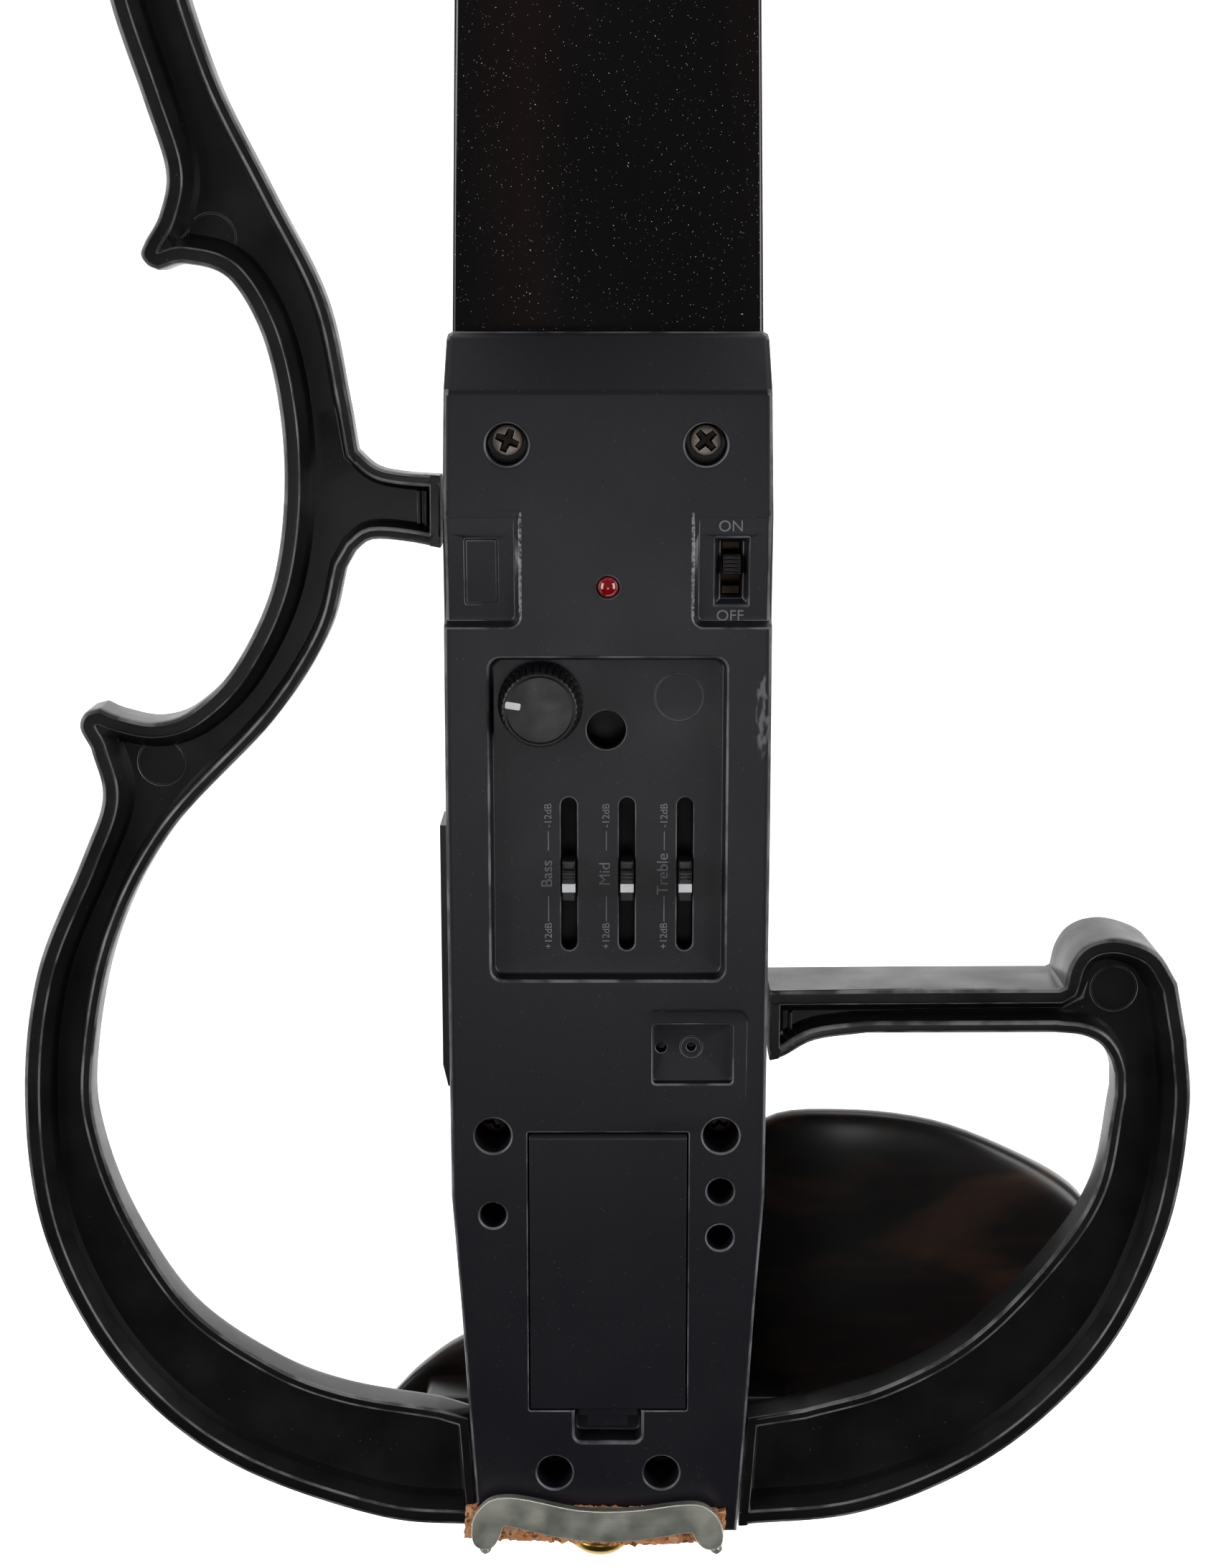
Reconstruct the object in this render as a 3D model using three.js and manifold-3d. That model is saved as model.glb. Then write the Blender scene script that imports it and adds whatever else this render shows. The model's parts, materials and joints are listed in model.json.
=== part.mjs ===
// A full-size electric violin of the open-frame kind, in millimetres.
//
// Seen from behind with the neck up: +X is the bass side, +Y points out of the strings' side,
// +Z runs up the neck. Inside the violin group, Z is counted from the lower end of the body and
// Y from the back face of the control housing. The group is shifted so that the origin of the
// whole part lies on the neck's centreline, where a wall hanger's fork carries the violin.
import * as THREE from "three";
import { mergeVertices } from "three/addons/utils/BufferGeometryUtils.js";
import Module from "manifold-3d";

const wasm = await Module();
wasm.setup();

// ---- driving dimensions -------------------------------------------------------------------

const GAP = 0.3; // between pieces that touch
const RUNNING = 0.35; // radial clearance around a turning or sliding piece

const HANGER = { height: 480, depth: 18 }; // the origin, in the violin group's own numbers

const BODY_LENGTH = 356; // a full-size violin's body
const BRIDGE_Z = 161; // bridge stop: 195 mm below the body's upper end
const NUT_Z = 486; // neck stop: 130 mm above it
const BOARD_END_Z = 216; // a fingerboard is 270 mm long
const BRIDGE_TOP_Y = 73; // crown of the bridge
const BOARD_SLOPE = 0.1228; // fingerboard line, 27 mm over the core at the bridge
const BOARD_TOP_AT_BRIDGE = 67;
const BOARD_UNDERSIDE_AT_NUT = 20.3;
const BOARD_UNDERSIDE_SLOPE = 0.1108;
const BOARD_RADIUS = 42;
const NUT_HALF_WIDTH = 12;
const BOARD_END_HALF_WIDTH = 21.25;

const HOUSING = { top: 216.5, crease: 207.3, wedgeY: 9, depth: 14, skin: 5.2 };
const CORE = { back: 14.3, frontEnds: 35, frontMiddle: 40, frontHeel: 34 };

const FRAME_BACK = 2.5; // both frames' rims, in front of the housing's back face
const FRAME_FLOOR = 7; // floor of the frames' channel
const TREBLE_FRAME_FRONT = 12;
const BASS_FRAME_FRONT = 14;
const BASS_ARM_FRONT = 18.5;

const RECESS = { left: -20.3, right: 20.3, bottom: 105, top: 161.8, floorY: 3 };
const SLIDER = { xs: [-6.8, 3.3, 13.4], slotHalf: 1.4, low: 109.6, high: 137, z: 122.8 };
const KNOB = { x: -11.6, z: 153.6, baseR: 7.3, topR: 6.5, height: 7, shaftR: 3 };
const SWITCH = { x: 21, z: 177.8, slotHalf: 1.8, low: 172.1, high: 181.6 };
const LED = { x: 0, z: 174, radius: 1.8 };
const HOUSING_SCREWS = [
  { name: "housing_screw_treble", x: -17, z: 198.6 },
  { name: "housing_screw_bass", x: 16.5, z: 198.6 },
];
const WELLS = [
  { x: -20.4, z: 76.4, r: 3.2 },
  { x: 20, z: 76.4, r: 3.2 },
  { x: -9.7, z: 12, r: 3.2 },
  { x: 9.7, z: 12, r: 3.2 },
  { x: -20.5, z: 61.5, r: 2.4 },
  { x: 20, z: 66, r: 2.4 },
  { x: 20, z: 57.3, r: 2.4 },
];
const DOOR = { left: -14, right: 14, bottom: 24.4, top: 76.7, thickness: 2.3 };
const BATTERY = { width: 26.5, length: 48.5, depth: 17.5, back: 2.9, bottom: 25 };
const BAY_TOP = DOOR.top + 3; // of the battery bay, beyond the door's hinged end
const JACKS = { lineZ: 95, lineY: 9.7, lineR: 4, phonesZ: 118, phonesY: 8.2, phonesR: 2.6 };
const PANEL = { outer: -29.2, inner: -25.7, bottom: 85, top: 132.3, backY: 1.8 };

const CLAMP = { x: -1.3, z: -2.4, half: 21.1, rodR: 1.1, barrelR: 2 };
const BUTTON = { x: -1.5, y: 22, neckR: 3, flangeR: 6.3, shaftR: 3.6 };

// Strings, from the bass side: place across the nut, the bridge and the tailpiece, and the peg.
const STRINGS = [
  { name: "g", nutX: 8.25, bridgeX: 17, tailX: 14.4, radius: 0.42, side: 1, pegZ: 500.5, pegY: 7.2, windX: 4.6 },
  { name: "d", nutX: 2.75, bridgeX: 5.7, tailX: 4.8, radius: 0.4, side: 1, pegZ: 524, pegY: 5, windX: 2 },
  { name: "a", nutX: -2.75, bridgeX: -5.7, tailX: -4.8, radius: 0.35, side: -1, pegZ: 535.5, pegY: 4.3, windX: -2 },
  { name: "e", nutX: -8.25, bridgeX: -17, tailX: -14.4, radius: 0.25, side: -1, pegZ: 512.3, pegY: 6.1, windX: -4.6 },
];
const PEG = { shaftR: 3.3, windingR: 4.3, collarR: 5.6, headHalf: 11.5 };

const TAIL = { low: 4, high: 106, underLow: 45, underHigh: 54.5, halfLow: 10, halfHigh: 21 };
const TUNER_Z = 88; // the fine tuners' screws

// ---- materials ----------------------------------------------------------------------------

function finish(color, roughness, metalness = 0) {
  return new THREE.MeshStandardMaterial({ color, roughness, metalness });
}

const looks = {
  glossWood: finish(0x0b0908, 0.12),
  framePlastic: finish(0x15161a, 0.38),
  housingPlastic: finish(0x1f2125, 0.55),
  ebony: finish(0x17100d, 0.4),
  maple: finish(0xb98a55, 0.45),
  steel: finish(0x8d8f8b, 0.3, 1),
  darkSteel: finish(0x4b4641, 0.4, 1),
  brass: finish(0xa8873c, 0.3, 1),
  cork: finish(0xc8905a, 0.95),
  redLens: finish(0xa01018, 0.15),
  board: finish(0x1d4a2c, 0.6),
  component: finish(0x2a2a2c, 0.5),
  stringSteel: finish(0xb9bab8, 0.28, 1),
  batteryCase: finish(0x3a3d44, 0.35, 0.6),
  nylon: finish(0x101012, 0.5),
};

// ---- geometry helpers ---------------------------------------------------------------------

// A closed three.js geometry as a solid that can be joined and cut.
function solid(geometry) {
  const bare = geometry.clone();
  bare.deleteAttribute("normal");
  bare.deleteAttribute("uv");
  const merged = mergeVertices(bare, 1e-4);
  const mesh = new wasm.Mesh({
    numProp: 3,
    vertProperties: Float32Array.from(merged.attributes.position.array),
    triVerts: Uint32Array.from(merged.index.array),
  });
  return new wasm.Manifold(mesh);
}

function geometryOf(body) {
  const { vertProperties, triVerts } = body.getMesh();
  const geometry = new THREE.BufferGeometry();
  geometry.setAttribute("position", new THREE.BufferAttribute(vertProperties, 3));
  geometry.setIndex(new THREE.BufferAttribute(triVerts, 1));
  geometry.computeVertexNormals();
  return geometry;
}

function shapeOf(points) {
  return new THREE.Shape(points.map(([x, y]) => new THREE.Vector2(x, y)));
}

// Smooth curve through points, as a list of [x, y] pairs.
function smooth(points, divisions) {
  const curve = new THREE.SplineCurve(points.map(([x, y]) => new THREE.Vector2(x, y)));
  return curve.getPoints(divisions).map((p) => [p.x, p.y]);
}

// An outline in X and Z, with thickness from back to front along Y.
function plateXZ(points, backY, frontY) {
  const geometry = new THREE.ExtrudeGeometry(shapeOf(points), {
    depth: frontY - backY,
    bevelEnabled: false,
  });
  return solid(geometry.rotateX(Math.PI / 2).translate(0, frontY, 0));
}

// An outline in Y and Z, with width from one X to another.
function slabYZ(points, lowX, highX) {
  const geometry = new THREE.ExtrudeGeometry(shapeOf(points), {
    depth: highX - lowX,
    bevelEnabled: false,
  });
  const turn = new THREE.Matrix4().set(0, 0, 1, 0, 1, 0, 0, 0, 0, 1, 0, 0, 0, 0, 0, 1);
  return solid(geometry.applyMatrix4(turn).translate(lowX, 0, 0));
}

function block([lowX, highX], [lowY, highY], [lowZ, highZ]) {
  const geometry = new THREE.BoxGeometry(highX - lowX, highY - lowY, highZ - lowZ);
  geometry.translate((lowX + highX) / 2, (lowY + highY) / 2, (lowZ + highZ) / 2);
  return solid(geometry);
}

function rodY(x, z, radius, lowY, highY, sides = 24) {
  const geometry = new THREE.CylinderGeometry(radius, radius, highY - lowY, sides);
  return solid(geometry.translate(x, (lowY + highY) / 2, z));
}

function rodX(y, z, radius, lowX, highX, sides = 24) {
  const geometry = new THREE.CylinderGeometry(radius, radius, highX - lowX, sides);
  return solid(geometry.rotateZ(Math.PI / 2).translate((lowX + highX) / 2, y, z));
}

// A turned piece: profile points are [radius, height] and run from axis to axis, or close.
function turned(points, sides = 16) {
  return new THREE.LatheGeometry(points.map(([r, h]) => new THREE.Vector2(r, h)), sides);
}

// A solid through rings of points that all run anticlockwise seen from the last ring.
function loft(rings) {
  const count = rings[0].length;
  const positions = rings.flat(2);
  const index = [];
  for (let ring = 0; ring < rings.length - 1; ring += 1) {
    for (let side = 0; side < count; side += 1) {
      const a = ring * count + side;
      const b = ring * count + ((side + 1) % count);
      index.push(a, b, b + count, a, b + count, a + count);
    }
  }
  const last = (rings.length - 1) * count;
  for (let side = 1; side < count - 1; side += 1) {
    index.push(0, side + 1, side);
    index.push(last, last + side, last + side + 1);
  }
  const geometry = new THREE.BufferGeometry();
  geometry.setAttribute("position", new THREE.Float32BufferAttribute(positions, 3));
  geometry.setIndex(index);
  return solid(geometry);
}

// A round tube along a smooth curve through the given points.
function tube(points, radius, steps, sides = 8) {
  const path = new THREE.CatmullRomCurve3(points.map((p) => new THREE.Vector3(...p)), false, "centripetal");
  const ring = [];
  for (let side = 0; side < sides; side += 1) {
    const angle = (2 * Math.PI * side) / sides;
    ring.push([radius * Math.cos(angle), radius * Math.sin(angle)]);
  }
  return new THREE.ExtrudeGeometry(shapeOf(ring), { steps, bevelEnabled: false, extrudePath: path });
}

const violin = new THREE.Group();
violin.position.set(0, -HANGER.depth, -HANGER.height);

function add(name, shape, material, parent = violin) {
  const geometry = shape.isBufferGeometry ? shape : geometryOf(shape);
  const mesh = new THREE.Mesh(geometry, material);
  mesh.name = name;
  parent.add(mesh);
  return mesh;
}

// ---- shared lines -------------------------------------------------------------------------

const boardTop = (z) => BOARD_TOP_AT_BRIDGE - BOARD_SLOPE * (z - BRIDGE_Z);
const boardUnderside = (z) => BOARD_UNDERSIDE_AT_NUT + BOARD_UNDERSIDE_SLOPE * (NUT_Z - z);

// Half the housing's width up its length; the body core behind it is a little narrower.
const SIDE_LINE = [
  [23.6, 0.2],
  [25.1, 22],
  [26.4, 44],
  [27.9, 65],
  [28.1, 131],
  [28, 175],
  [27.4, HOUSING.top],
];

function symmetric(side, inset) {
  const right = side.map(([x, z]) => [x - inset, z]);
  const left = right.map(([x, z]) => [-x, z]).reverse();
  return [...right, ...left];
}

// ---- body core, neck and fingerboard ------------------------------------------------------

function bodyCore() {
  const coreSide = [
    [22.3, 0],
    [23.9, 22],
    [25.2, 44],
    [26.9, 65],
    [27.1, 131],
    [26.8, 216],
    [25.8, 272],
    [24.6, 325],
    ...smooth([[24.2, 338], [22, 350], [17.5, BODY_LENGTH]], 6),
  ];
  const plan = plateXZ(symmetric(coreSide, 0), CORE.back, CORE.frontMiddle + 1);
  const profile = slabYZ(
    [
      [CORE.back - 1, -1],
      [CORE.frontEnds, -1],
      [CORE.frontMiddle, 120],
      [CORE.frontMiddle, 200],
      [CORE.frontHeel, BODY_LENGTH + 1],
      [CORE.back - 1, BODY_LENGTH + 1],
    ],
    -40,
    40,
  );
  const batteryPocket = block([-14.6, 14.6], [CORE.back - 1, 21.2], [DOOR.bottom - 0.6, BAY_TOP]);
  const buttonHole = solid(
    new THREE.CylinderGeometry(BUTTON.shaftR + GAP, BUTTON.shaftR + GAP, 20, 20)
      .rotateX(Math.PI / 2)
      .translate(BUTTON.x, BUTTON.y, 9),
  );
  let core = plan.intersect(profile).subtract(batteryPocket).subtract(buttonHole);
  for (const screw of HOUSING_SCREWS) {
    core = core.subtract(rodY(screw.x, screw.z, 1.75, CORE.back - 1, 24, 12));
  }
  return core;
}

// Half-round neck section: flat under the fingerboard, rounded at the back.
function neckSection(z, halfWidth, backY) {
  const topY = boardUnderside(z) - GAP;
  const ring = [];
  const arcSteps = 12;
  for (let step = 0; step <= arcSteps; step += 1) {
    const angle = Math.PI + (Math.PI * step) / arcSteps;
    ring.push([halfWidth * Math.cos(angle), topY - 2 + (topY - 2 - backY) * Math.sin(angle), z]);
  }
  ring.push([halfWidth, topY, z], [-halfWidth, topY, z]);
  return ring;
}

// Side view of pegbox and scroll, and the pegbox's taper seen from the front.
const PEGBOX_SIDE = [
  [8.6, 479],
  [18.5, 479],
  [19.3, 491],
  ...smooth(
    [
      [19.3, 492],
      [17, 510],
      [14.2, 532],
      [13.6, 543],
      [18, 550],
      [22, 562],
      [20, 577],
      [10, 588],
      [-4, 589],
      [-14, 580],
      [-16, 566],
      [-11.5, 549],
      [-7, 530],
      [-5.6, 512],
      [-5.6, 499],
      [-1, 489],
      [8.6, 483],
    ],
    52,
  ),
];
const PEGBOX_TAPER = [
  [12.6, 478],
  [13, 492],
  [9.8, 545],
  [8, 566],
  [6.5, 592],
];
const SCROLL = { y: 3, z: 567 };
const VOLUTE_STEPS = [
  { r: 14.5, half: 12 },
  { r: 10.5, half: 15.5 },
  { r: 7, half: 18.5 },
  { r: 4.2, half: 21 },
];

function neck() {
  const heelY = CORE.back + 0.5;
  const shaftBack = (z) => 18.6 - 0.102 * (z - 384);
  const sections = [
    neckSection(BODY_LENGTH + GAP, 17.2, heelY),
    neckSection(362, 16.2, heelY + 0.2),
    neckSection(368, 15.8, 16.6),
    neckSection(375, 15.4, 18.4),
    neckSection(384, 15, shaftBack(384)),
    neckSection(430, 13.7, shaftBack(430)),
    neckSection(NUT_Z, 12.2, shaftBack(NUT_Z)),
  ];
  const head = slabYZ(PEGBOX_SIDE, -14, 14).intersect(plateXZ(symmetric(PEGBOX_TAPER, 0), -30, 40));
  let body = loft(sections).add(head);
  for (const { r, half } of VOLUTE_STEPS) {
    body = body.add(rodX(SCROLL.y, SCROLL.z, r, -half, half, 28));
  }
  const channel = plateXZ(symmetric([[8, 493], [5.6, 541.5]], 0), -1, 40);
  body = body.subtract(channel);
  for (const string of STRINGS) {
    body = body.subtract(rodX(string.pegY, string.pegZ, PEG.shaftR + RUNNING, -20, 20, 20));
  }
  return body;
}

// Flat underneath, arched on top; used by the fingerboard.
function archedSection(z, halfWidth, underY, topY, radius) {
  const ring = [[-halfWidth, underY, z], [halfWidth, underY, z]];
  const arcSteps = 8;
  for (let step = 0; step <= arcSteps; step += 1) {
    const x = halfWidth - (2 * halfWidth * step) / arcSteps;
    ring.push([x, topY - radius + Math.sqrt(radius * radius - x * x), z]);
  }
  return ring;
}

function fingerboard() {
  const section = (z, half) => archedSection(z, half, boardUnderside(z), boardTop(z), BOARD_RADIUS);
  return loft([section(BOARD_END_Z, BOARD_END_HALF_WIDTH), section(NUT_Z, NUT_HALF_WIDTH)]);
}

function nut() {
  const low = NUT_Z + GAP;
  const floorY = boardUnderside(low + 4.5);
  return slabYZ(
    [
      [floorY, low],
      [27.4, low],
      [26.6, low + 4.4],
      [floorY, low + 4.4],
    ],
    -NUT_HALF_WIDTH,
    NUT_HALF_WIDTH,
  );
}

// ---- pegs and strings ---------------------------------------------------------------------

// A peg lies along X; its head is on the string's own side of the pegbox.
function peg() {
  const shaft = turned([
    [0, -14],
    [3.0, -14],
    [PEG.shaftR, 13],
    [PEG.shaftR, 18],
    [PEG.collarR, 19.5],
    [PEG.collarR, 21.5],
    [3.2, 24],
    [3.4, 28],
    [0, 28],
  ]);
  const headOutline = new THREE.Shape();
  headOutline.absellipse(0, 36, PEG.headHalf, 9.5, 0, 2 * Math.PI);
  const head = new THREE.ExtrudeGeometry(headOutline, {
    depth: 3,
    curveSegments: 10,
    bevelThickness: 1.4,
    bevelSize: 1.6,
    bevelOffset: -1.6,
    bevelSegments: 1,
  });
  return solid(shaft).add(solid(head.translate(0, 0, -1.5)));
}

function pegWinding() {
  const inner = PEG.shaftR + GAP;
  return turned([[inner, -2], [PEG.windingR, -2], [PEG.windingR, 2], [inner, 2], [inner, -2]], 16);
}

const bridgeCrown = (x) => BRIDGE_TOP_Y - BOARD_RADIUS + Math.sqrt(BOARD_RADIUS ** 2 - x * x);
const tailAngle = -Math.atan((TAIL.underHigh - TAIL.underLow) / (TAIL.high - TAIL.low));
const tailUnderside = (z) => TAIL.underLow + ((z - TAIL.low) * (TAIL.underHigh - TAIL.underLow)) / (TAIL.high - TAIL.low);

// The place of a fine tuner: on the tailpiece's underside, along its slope.
function tunerPlace(string) {
  const place = new THREE.Group();
  place.position.set(string.tailX, tailUnderside(TUNER_Z), TUNER_Z);
  place.rotation.x = tailAngle;
  place.updateMatrix();
  return place;
}

function stringTube(string) {
  const start = new THREE.Vector3(0, 4, 22.8).applyMatrix4(tunerPlace(string).matrix);
  const clear = string.radius + GAP;
  const bridgeY = bridgeCrown(string.bridgeX) + clear;
  const nutY = 27.4 + clear;
  const windTop = string.pegY + PEG.windingR + clear;
  const points = [
    [start.x, start.y, start.z],
    [string.bridgeX, bridgeY, BRIDGE_Z - 1],
    [string.bridgeX, bridgeY, BRIDGE_Z + 1],
    [string.nutX, nutY, NUT_Z],
    [string.nutX, nutY - 0.5, NUT_Z + 5],
    [string.windX, windTop, string.pegZ],
  ];
  return loft(points.map((point) => ringXY(point, string.radius)));
}

// A small ring in the plane across Z, used along the strings.
function ringXY([x, y, z], radius, sides = 6) {
  const ring = [];
  for (let side = 0; side < sides; side += 1) {
    const angle = (2 * Math.PI * side) / sides;
    ring.push([x + radius * Math.cos(angle), y + radius * Math.sin(angle), z]);
  }
  return ring;
}

// ---- bridge, tailpiece and their fittings -------------------------------------------------

const PICKUP = { low: CORE.frontMiddle + GAP, high: CORE.frontMiddle + 1.5 };

function bridge() {
  const feetY = PICKUP.high + GAP;
  const halfOutline = [
    [8, feetY],
    [20.7, feetY],
    [20.5, feetY + 2.4],
    ...smooth([[18, 45.5], [15, 49], [12.5, 53.5], [14, 57], [20, 61.5], [21.5, 65]], 8),
    [21, bridgeCrown(21)],
    [10.5, bridgeCrown(10.5)],
    [0, bridgeCrown(0)],
  ];
  const left = halfOutline.slice(0, -1).map(([x, y]) => [-x, y]).reverse();
  const arch = smooth([[-8, feetY], [-5, 45.2], [0, 46.4], [5, 45.2], [8, feetY]], 8).slice(1, -1);
  const outline = shapeOf([...halfOutline, ...left, ...arch]);
  const heart = new THREE.Path();
  heart.absellipse(0, 56, 3.4, 4.2, 0, 2 * Math.PI);
  outline.holes.push(heart);
  for (const side of [-1, 1]) {
    const kidney = new THREE.Path();
    kidney.absellipse(side * 11.5, 61.5, 4.2, 2.6, 0, 2 * Math.PI);
    outline.holes.push(kidney);
  }
  const blank = new THREE.ExtrudeGeometry(outline, { depth: 4.4, bevelEnabled: false, curveSegments: 8 });
  const taper = slabYZ(
    [
      [40, BRIDGE_Z - 2.2],
      [40, BRIDGE_Z + 2.2],
      [BRIDGE_TOP_Y + 1, BRIDGE_Z + 0.8],
      [BRIDGE_TOP_Y + 1, BRIDGE_Z - 0.8],
    ].reverse(),
    -30,
    30,
  );
  return solid(blank.translate(0, 0, BRIDGE_Z - 2.2)).intersect(taper);
}

function tailpiece() {
  const section = (z, half, edge, crown) => {
    const under = tailUnderside(z);
    const ring = [[-half, under, z], [half, under, z]];
    const arcSteps = 8;
    for (let step = 0; step <= arcSteps; step += 1) {
      const across = 1 - (2 * step) / arcSteps;
      ring.push([half * across, under + edge + crown * (1 - across * across), z]);
    }
    return ring;
  };
  let body = loft([
    section(TAIL.low, TAIL.halfLow, 2.6, 1.6),
    section(40, 13.4, 3, 2),
    section(80, 18, 3.2, 2.4),
    section(TAIL.high, TAIL.halfHigh, 3.4, 2.6),
  ]);
  for (const string of STRINGS) {
    const hole = rodY(0, 0, 1.5, -3, 12, 12).transform(tunerPlace(string).matrix.elements);
    body = body.subtract(hole);
  }
  return body;
}

// In the tuner's own frame: Y out of the tailpiece's top, Z up the strings.
function tunerLever() {
  return slabYZ(
    [
      [-2.6, -3],
      [-1, -3],
      [-1, 19.7],
      [5, 19.7],
      [5, 22],
      [-2.6, 22],
    ],
    -1.5,
    1.5,
  );
}

function tunerScrew() {
  return turned([[0, -0.2], [1.1, -0.2], [1.1, 7.6], [2.6, 7.6], [2.6, 10.6], [2, 11.2], [0, 11.2]], 12);
}

function tailSaddle() {
  return slabYZ([[35.4, -1], [41.8, -1], [41.8, 2], [38.5, 4.5], [35.4, 4.5]], -8, 8).subtract(
    block([-9, 9], [35, CORE.frontEnds + 0.6], [-2, 5]),
  );
}

function tailGut() {
  const r = 1;
  const legs = 3.6;
  const x = BUTTON.x;
  const loopR = BUTTON.neckR + r + 2 * GAP;
  const down = -2.8;
  return tube(
    [
      [x - legs, 43.6, 7],
      [x - legs, 43.6, 1],
      [x - legs, 42.6, -2.2],
      [x - legs - 0.4, 38, down],
      [x - loopR, BUTTON.y + 1, down],
      [x - loopR * 0.7, BUTTON.y - loopR * 0.75, down],
      [x, BUTTON.y - loopR - 0.1, down],
      [x + loopR * 0.7, BUTTON.y - loopR * 0.75, down],
      [x + loopR, BUTTON.y + 1, down],
      [x + legs + 0.4, 38, down],
      [x + legs, 42.6, -2.2],
      [x + legs, 43.6, 1],
      [x + legs, 43.6, 7],
    ],
    r,
    56,
    8,
  );
}

function endButton() {
  const body = turned(
    [
      [0, -18],
      [BUTTON.shaftR, -18],
      [BUTTON.shaftR, -0.2],
      [BUTTON.neckR, 0.6],
      [BUTTON.neckR, 6],
      [4.2, 10],
      [BUTTON.flangeR, 12.2],
      [BUTTON.flangeR, 13.6],
      [4.6, 15.2],
      [0, 15.6],
    ],
    24,
  );
  return body.rotateX(-Math.PI / 2).translate(BUTTON.x, BUTTON.y, 0);
}

// ---- chin rest and its clamp --------------------------------------------------------------

// Stations along X: lower and upper edge in Z, underside and top in Y.
const CHIN_STATIONS = [
  { x: -43, low: 0, high: 4, under: 51, top: 54 },
  { x: -38, low: -3, high: 8.5, under: 51.5, top: 57 },
  { x: -30, low: -5, high: 13.5, under: 53, top: 60 },
  { x: -18, low: -6, high: 18, under: 53, top: 61 },
  { x: 0, low: -6.5, high: 21, under: 54, top: 61.5 },
  { x: 14, low: -6, high: 27, under: 53.6, top: 61 },
  { x: 23, low: -5, high: 48, under: 53, top: 59.5 },
  { x: 31, low: -3, high: 61.5, under: 49, top: 56.5 },
  { x: 46, low: 1, high: 64.5, under: 45.5, top: 53.5 },
  { x: 64, low: 5, high: 62.5, under: 45, top: 53 },
  { x: 80, low: 12, high: 56, under: 45, top: 54 },
  { x: 92, low: 21, high: 48.5, under: 45.5, top: 56 },
  { x: 98.5, low: 30, high: 40, under: 47, top: 55 },
];

// A flat oval ring across X, rounded at its two edges.
function chinSection({ x, low, high, under, top }) {
  const ring = [];
  const sides = 16;
  const middleZ = (low + high) / 2;
  const middleY = (under + top) / 2;
  for (let side = 0; side < sides; side += 1) {
    const angle = (2 * Math.PI * side) / sides;
    const across = Math.sign(Math.cos(angle)) * Math.abs(Math.cos(angle)) ** 0.6;
    const depth = Math.sign(Math.sin(angle)) * Math.abs(Math.sin(angle)) ** 0.6;
    ring.push([x, middleY + ((top - under) / 2) * across, middleZ + ((high - low) / 2) * depth]);
  }
  return ring;
}

const CORK_TOP = 41.6; // the chin rest's feet stand on it
const FEET = [
  [-36.5, -14.5],
  [14.5, 36.5],
];

function chinRest() {
  let body = loft(CHIN_STATIONS.map(chinSection));
  for (const reach of FEET) {
    body = body.add(block(reach, [CORK_TOP + GAP, 55], [1.5, 11.5]));
  }
  return body;
}

// One cork strip under both feet, cut away around the saddle and the tail gut.
function chinRestCork() {
  const strip = block([-36.5, 36.5], [CORE.frontEnds + 1.2, CORK_TOP], [1.5, 11.5]);
  return strip.subtract(block([-11, 11], [30, 50], [-5, 9]));
}

function chinBracket() {
  const bar = block([CLAMP.x - 24, CLAMP.x + 24], [50.8, 52.4], [-6, -0.4]);
  let body = bar;
  for (const side of [-1, 1]) {
    body = body.add(rodY(CLAMP.x + side * CLAMP.half, CLAMP.z, CLAMP.rodR, 30, 51.5, 12));
  }
  return body;
}

function clampBarrel(side) {
  const inner = CLAMP.rodR + RUNNING;
  const outer = CLAMP.barrelR;
  const ring = turned([[inner, 9], [outer, 9], [outer, 41], [inner, 41], [inner, 9]], 16);
  const x = CLAMP.x + side * CLAMP.half;
  const barrel = solid(ring.translate(x, 0, CLAMP.z));
  return barrel.subtract(rodX(25, CLAMP.z, 0.8, x - 4, x + 4, 10));
}

// The steel foot that hooks over the lower edge of the housing's back.
const FOOT_OUTLINE = [
  [-24.8, 2.4],
  [-24.4, 0.4],
  [-23.2, -2],
  [-21.6, -2.2],
  [-20, -0.2],
  [-18.9, 3.1],
  ...smooth([[-14.3, 2.2], [-10.2, 1.1], [-5.1, 0.1], [0, -0.1], [5.1, 0.3], [10.2, 1], [13.8, 1.7]], 10),
  [16.5, 0],
  [18.6, -2.2],
  [20.6, -1.6],
  [20.9, 3.4],
  ...smooth([[19.3, 5.4], [16.3, 7.5], [12.2, 7.4], [4.1, 6.2], [-5.1, 6.3], [-14.2, 8.4], [-18.3, 8.8], [-23.4, 7.1]], 16),
];

function clampFoot() {
  let body = plateXZ(FOOT_OUTLINE, -3.4, -1.9);
  for (const side of [-1, 1]) {
    const x = CLAMP.x + side * CLAMP.half;
    body = body.add(rodY(x, CLAMP.z, CLAMP.rodR, -3.2, 24, 12));
    body = body.add(rodY(x, CLAMP.z + 0.7, 1.9, -3.4, -1.9, 16));
  }
  return body;
}

function clampCork() {
  return plateXZ(
    [
      [-26.2, -0.1],
      [-12.3, -0.8],
      [4.1, -1.6],
      [21.1, -0.8],
      [21.5, 5.2],
      [0, 4.1],
      [-25.8, 5.9],
    ],
    -1.6,
    -GAP,
  );
}

// ---- open frames --------------------------------------------------------------------------

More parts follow.
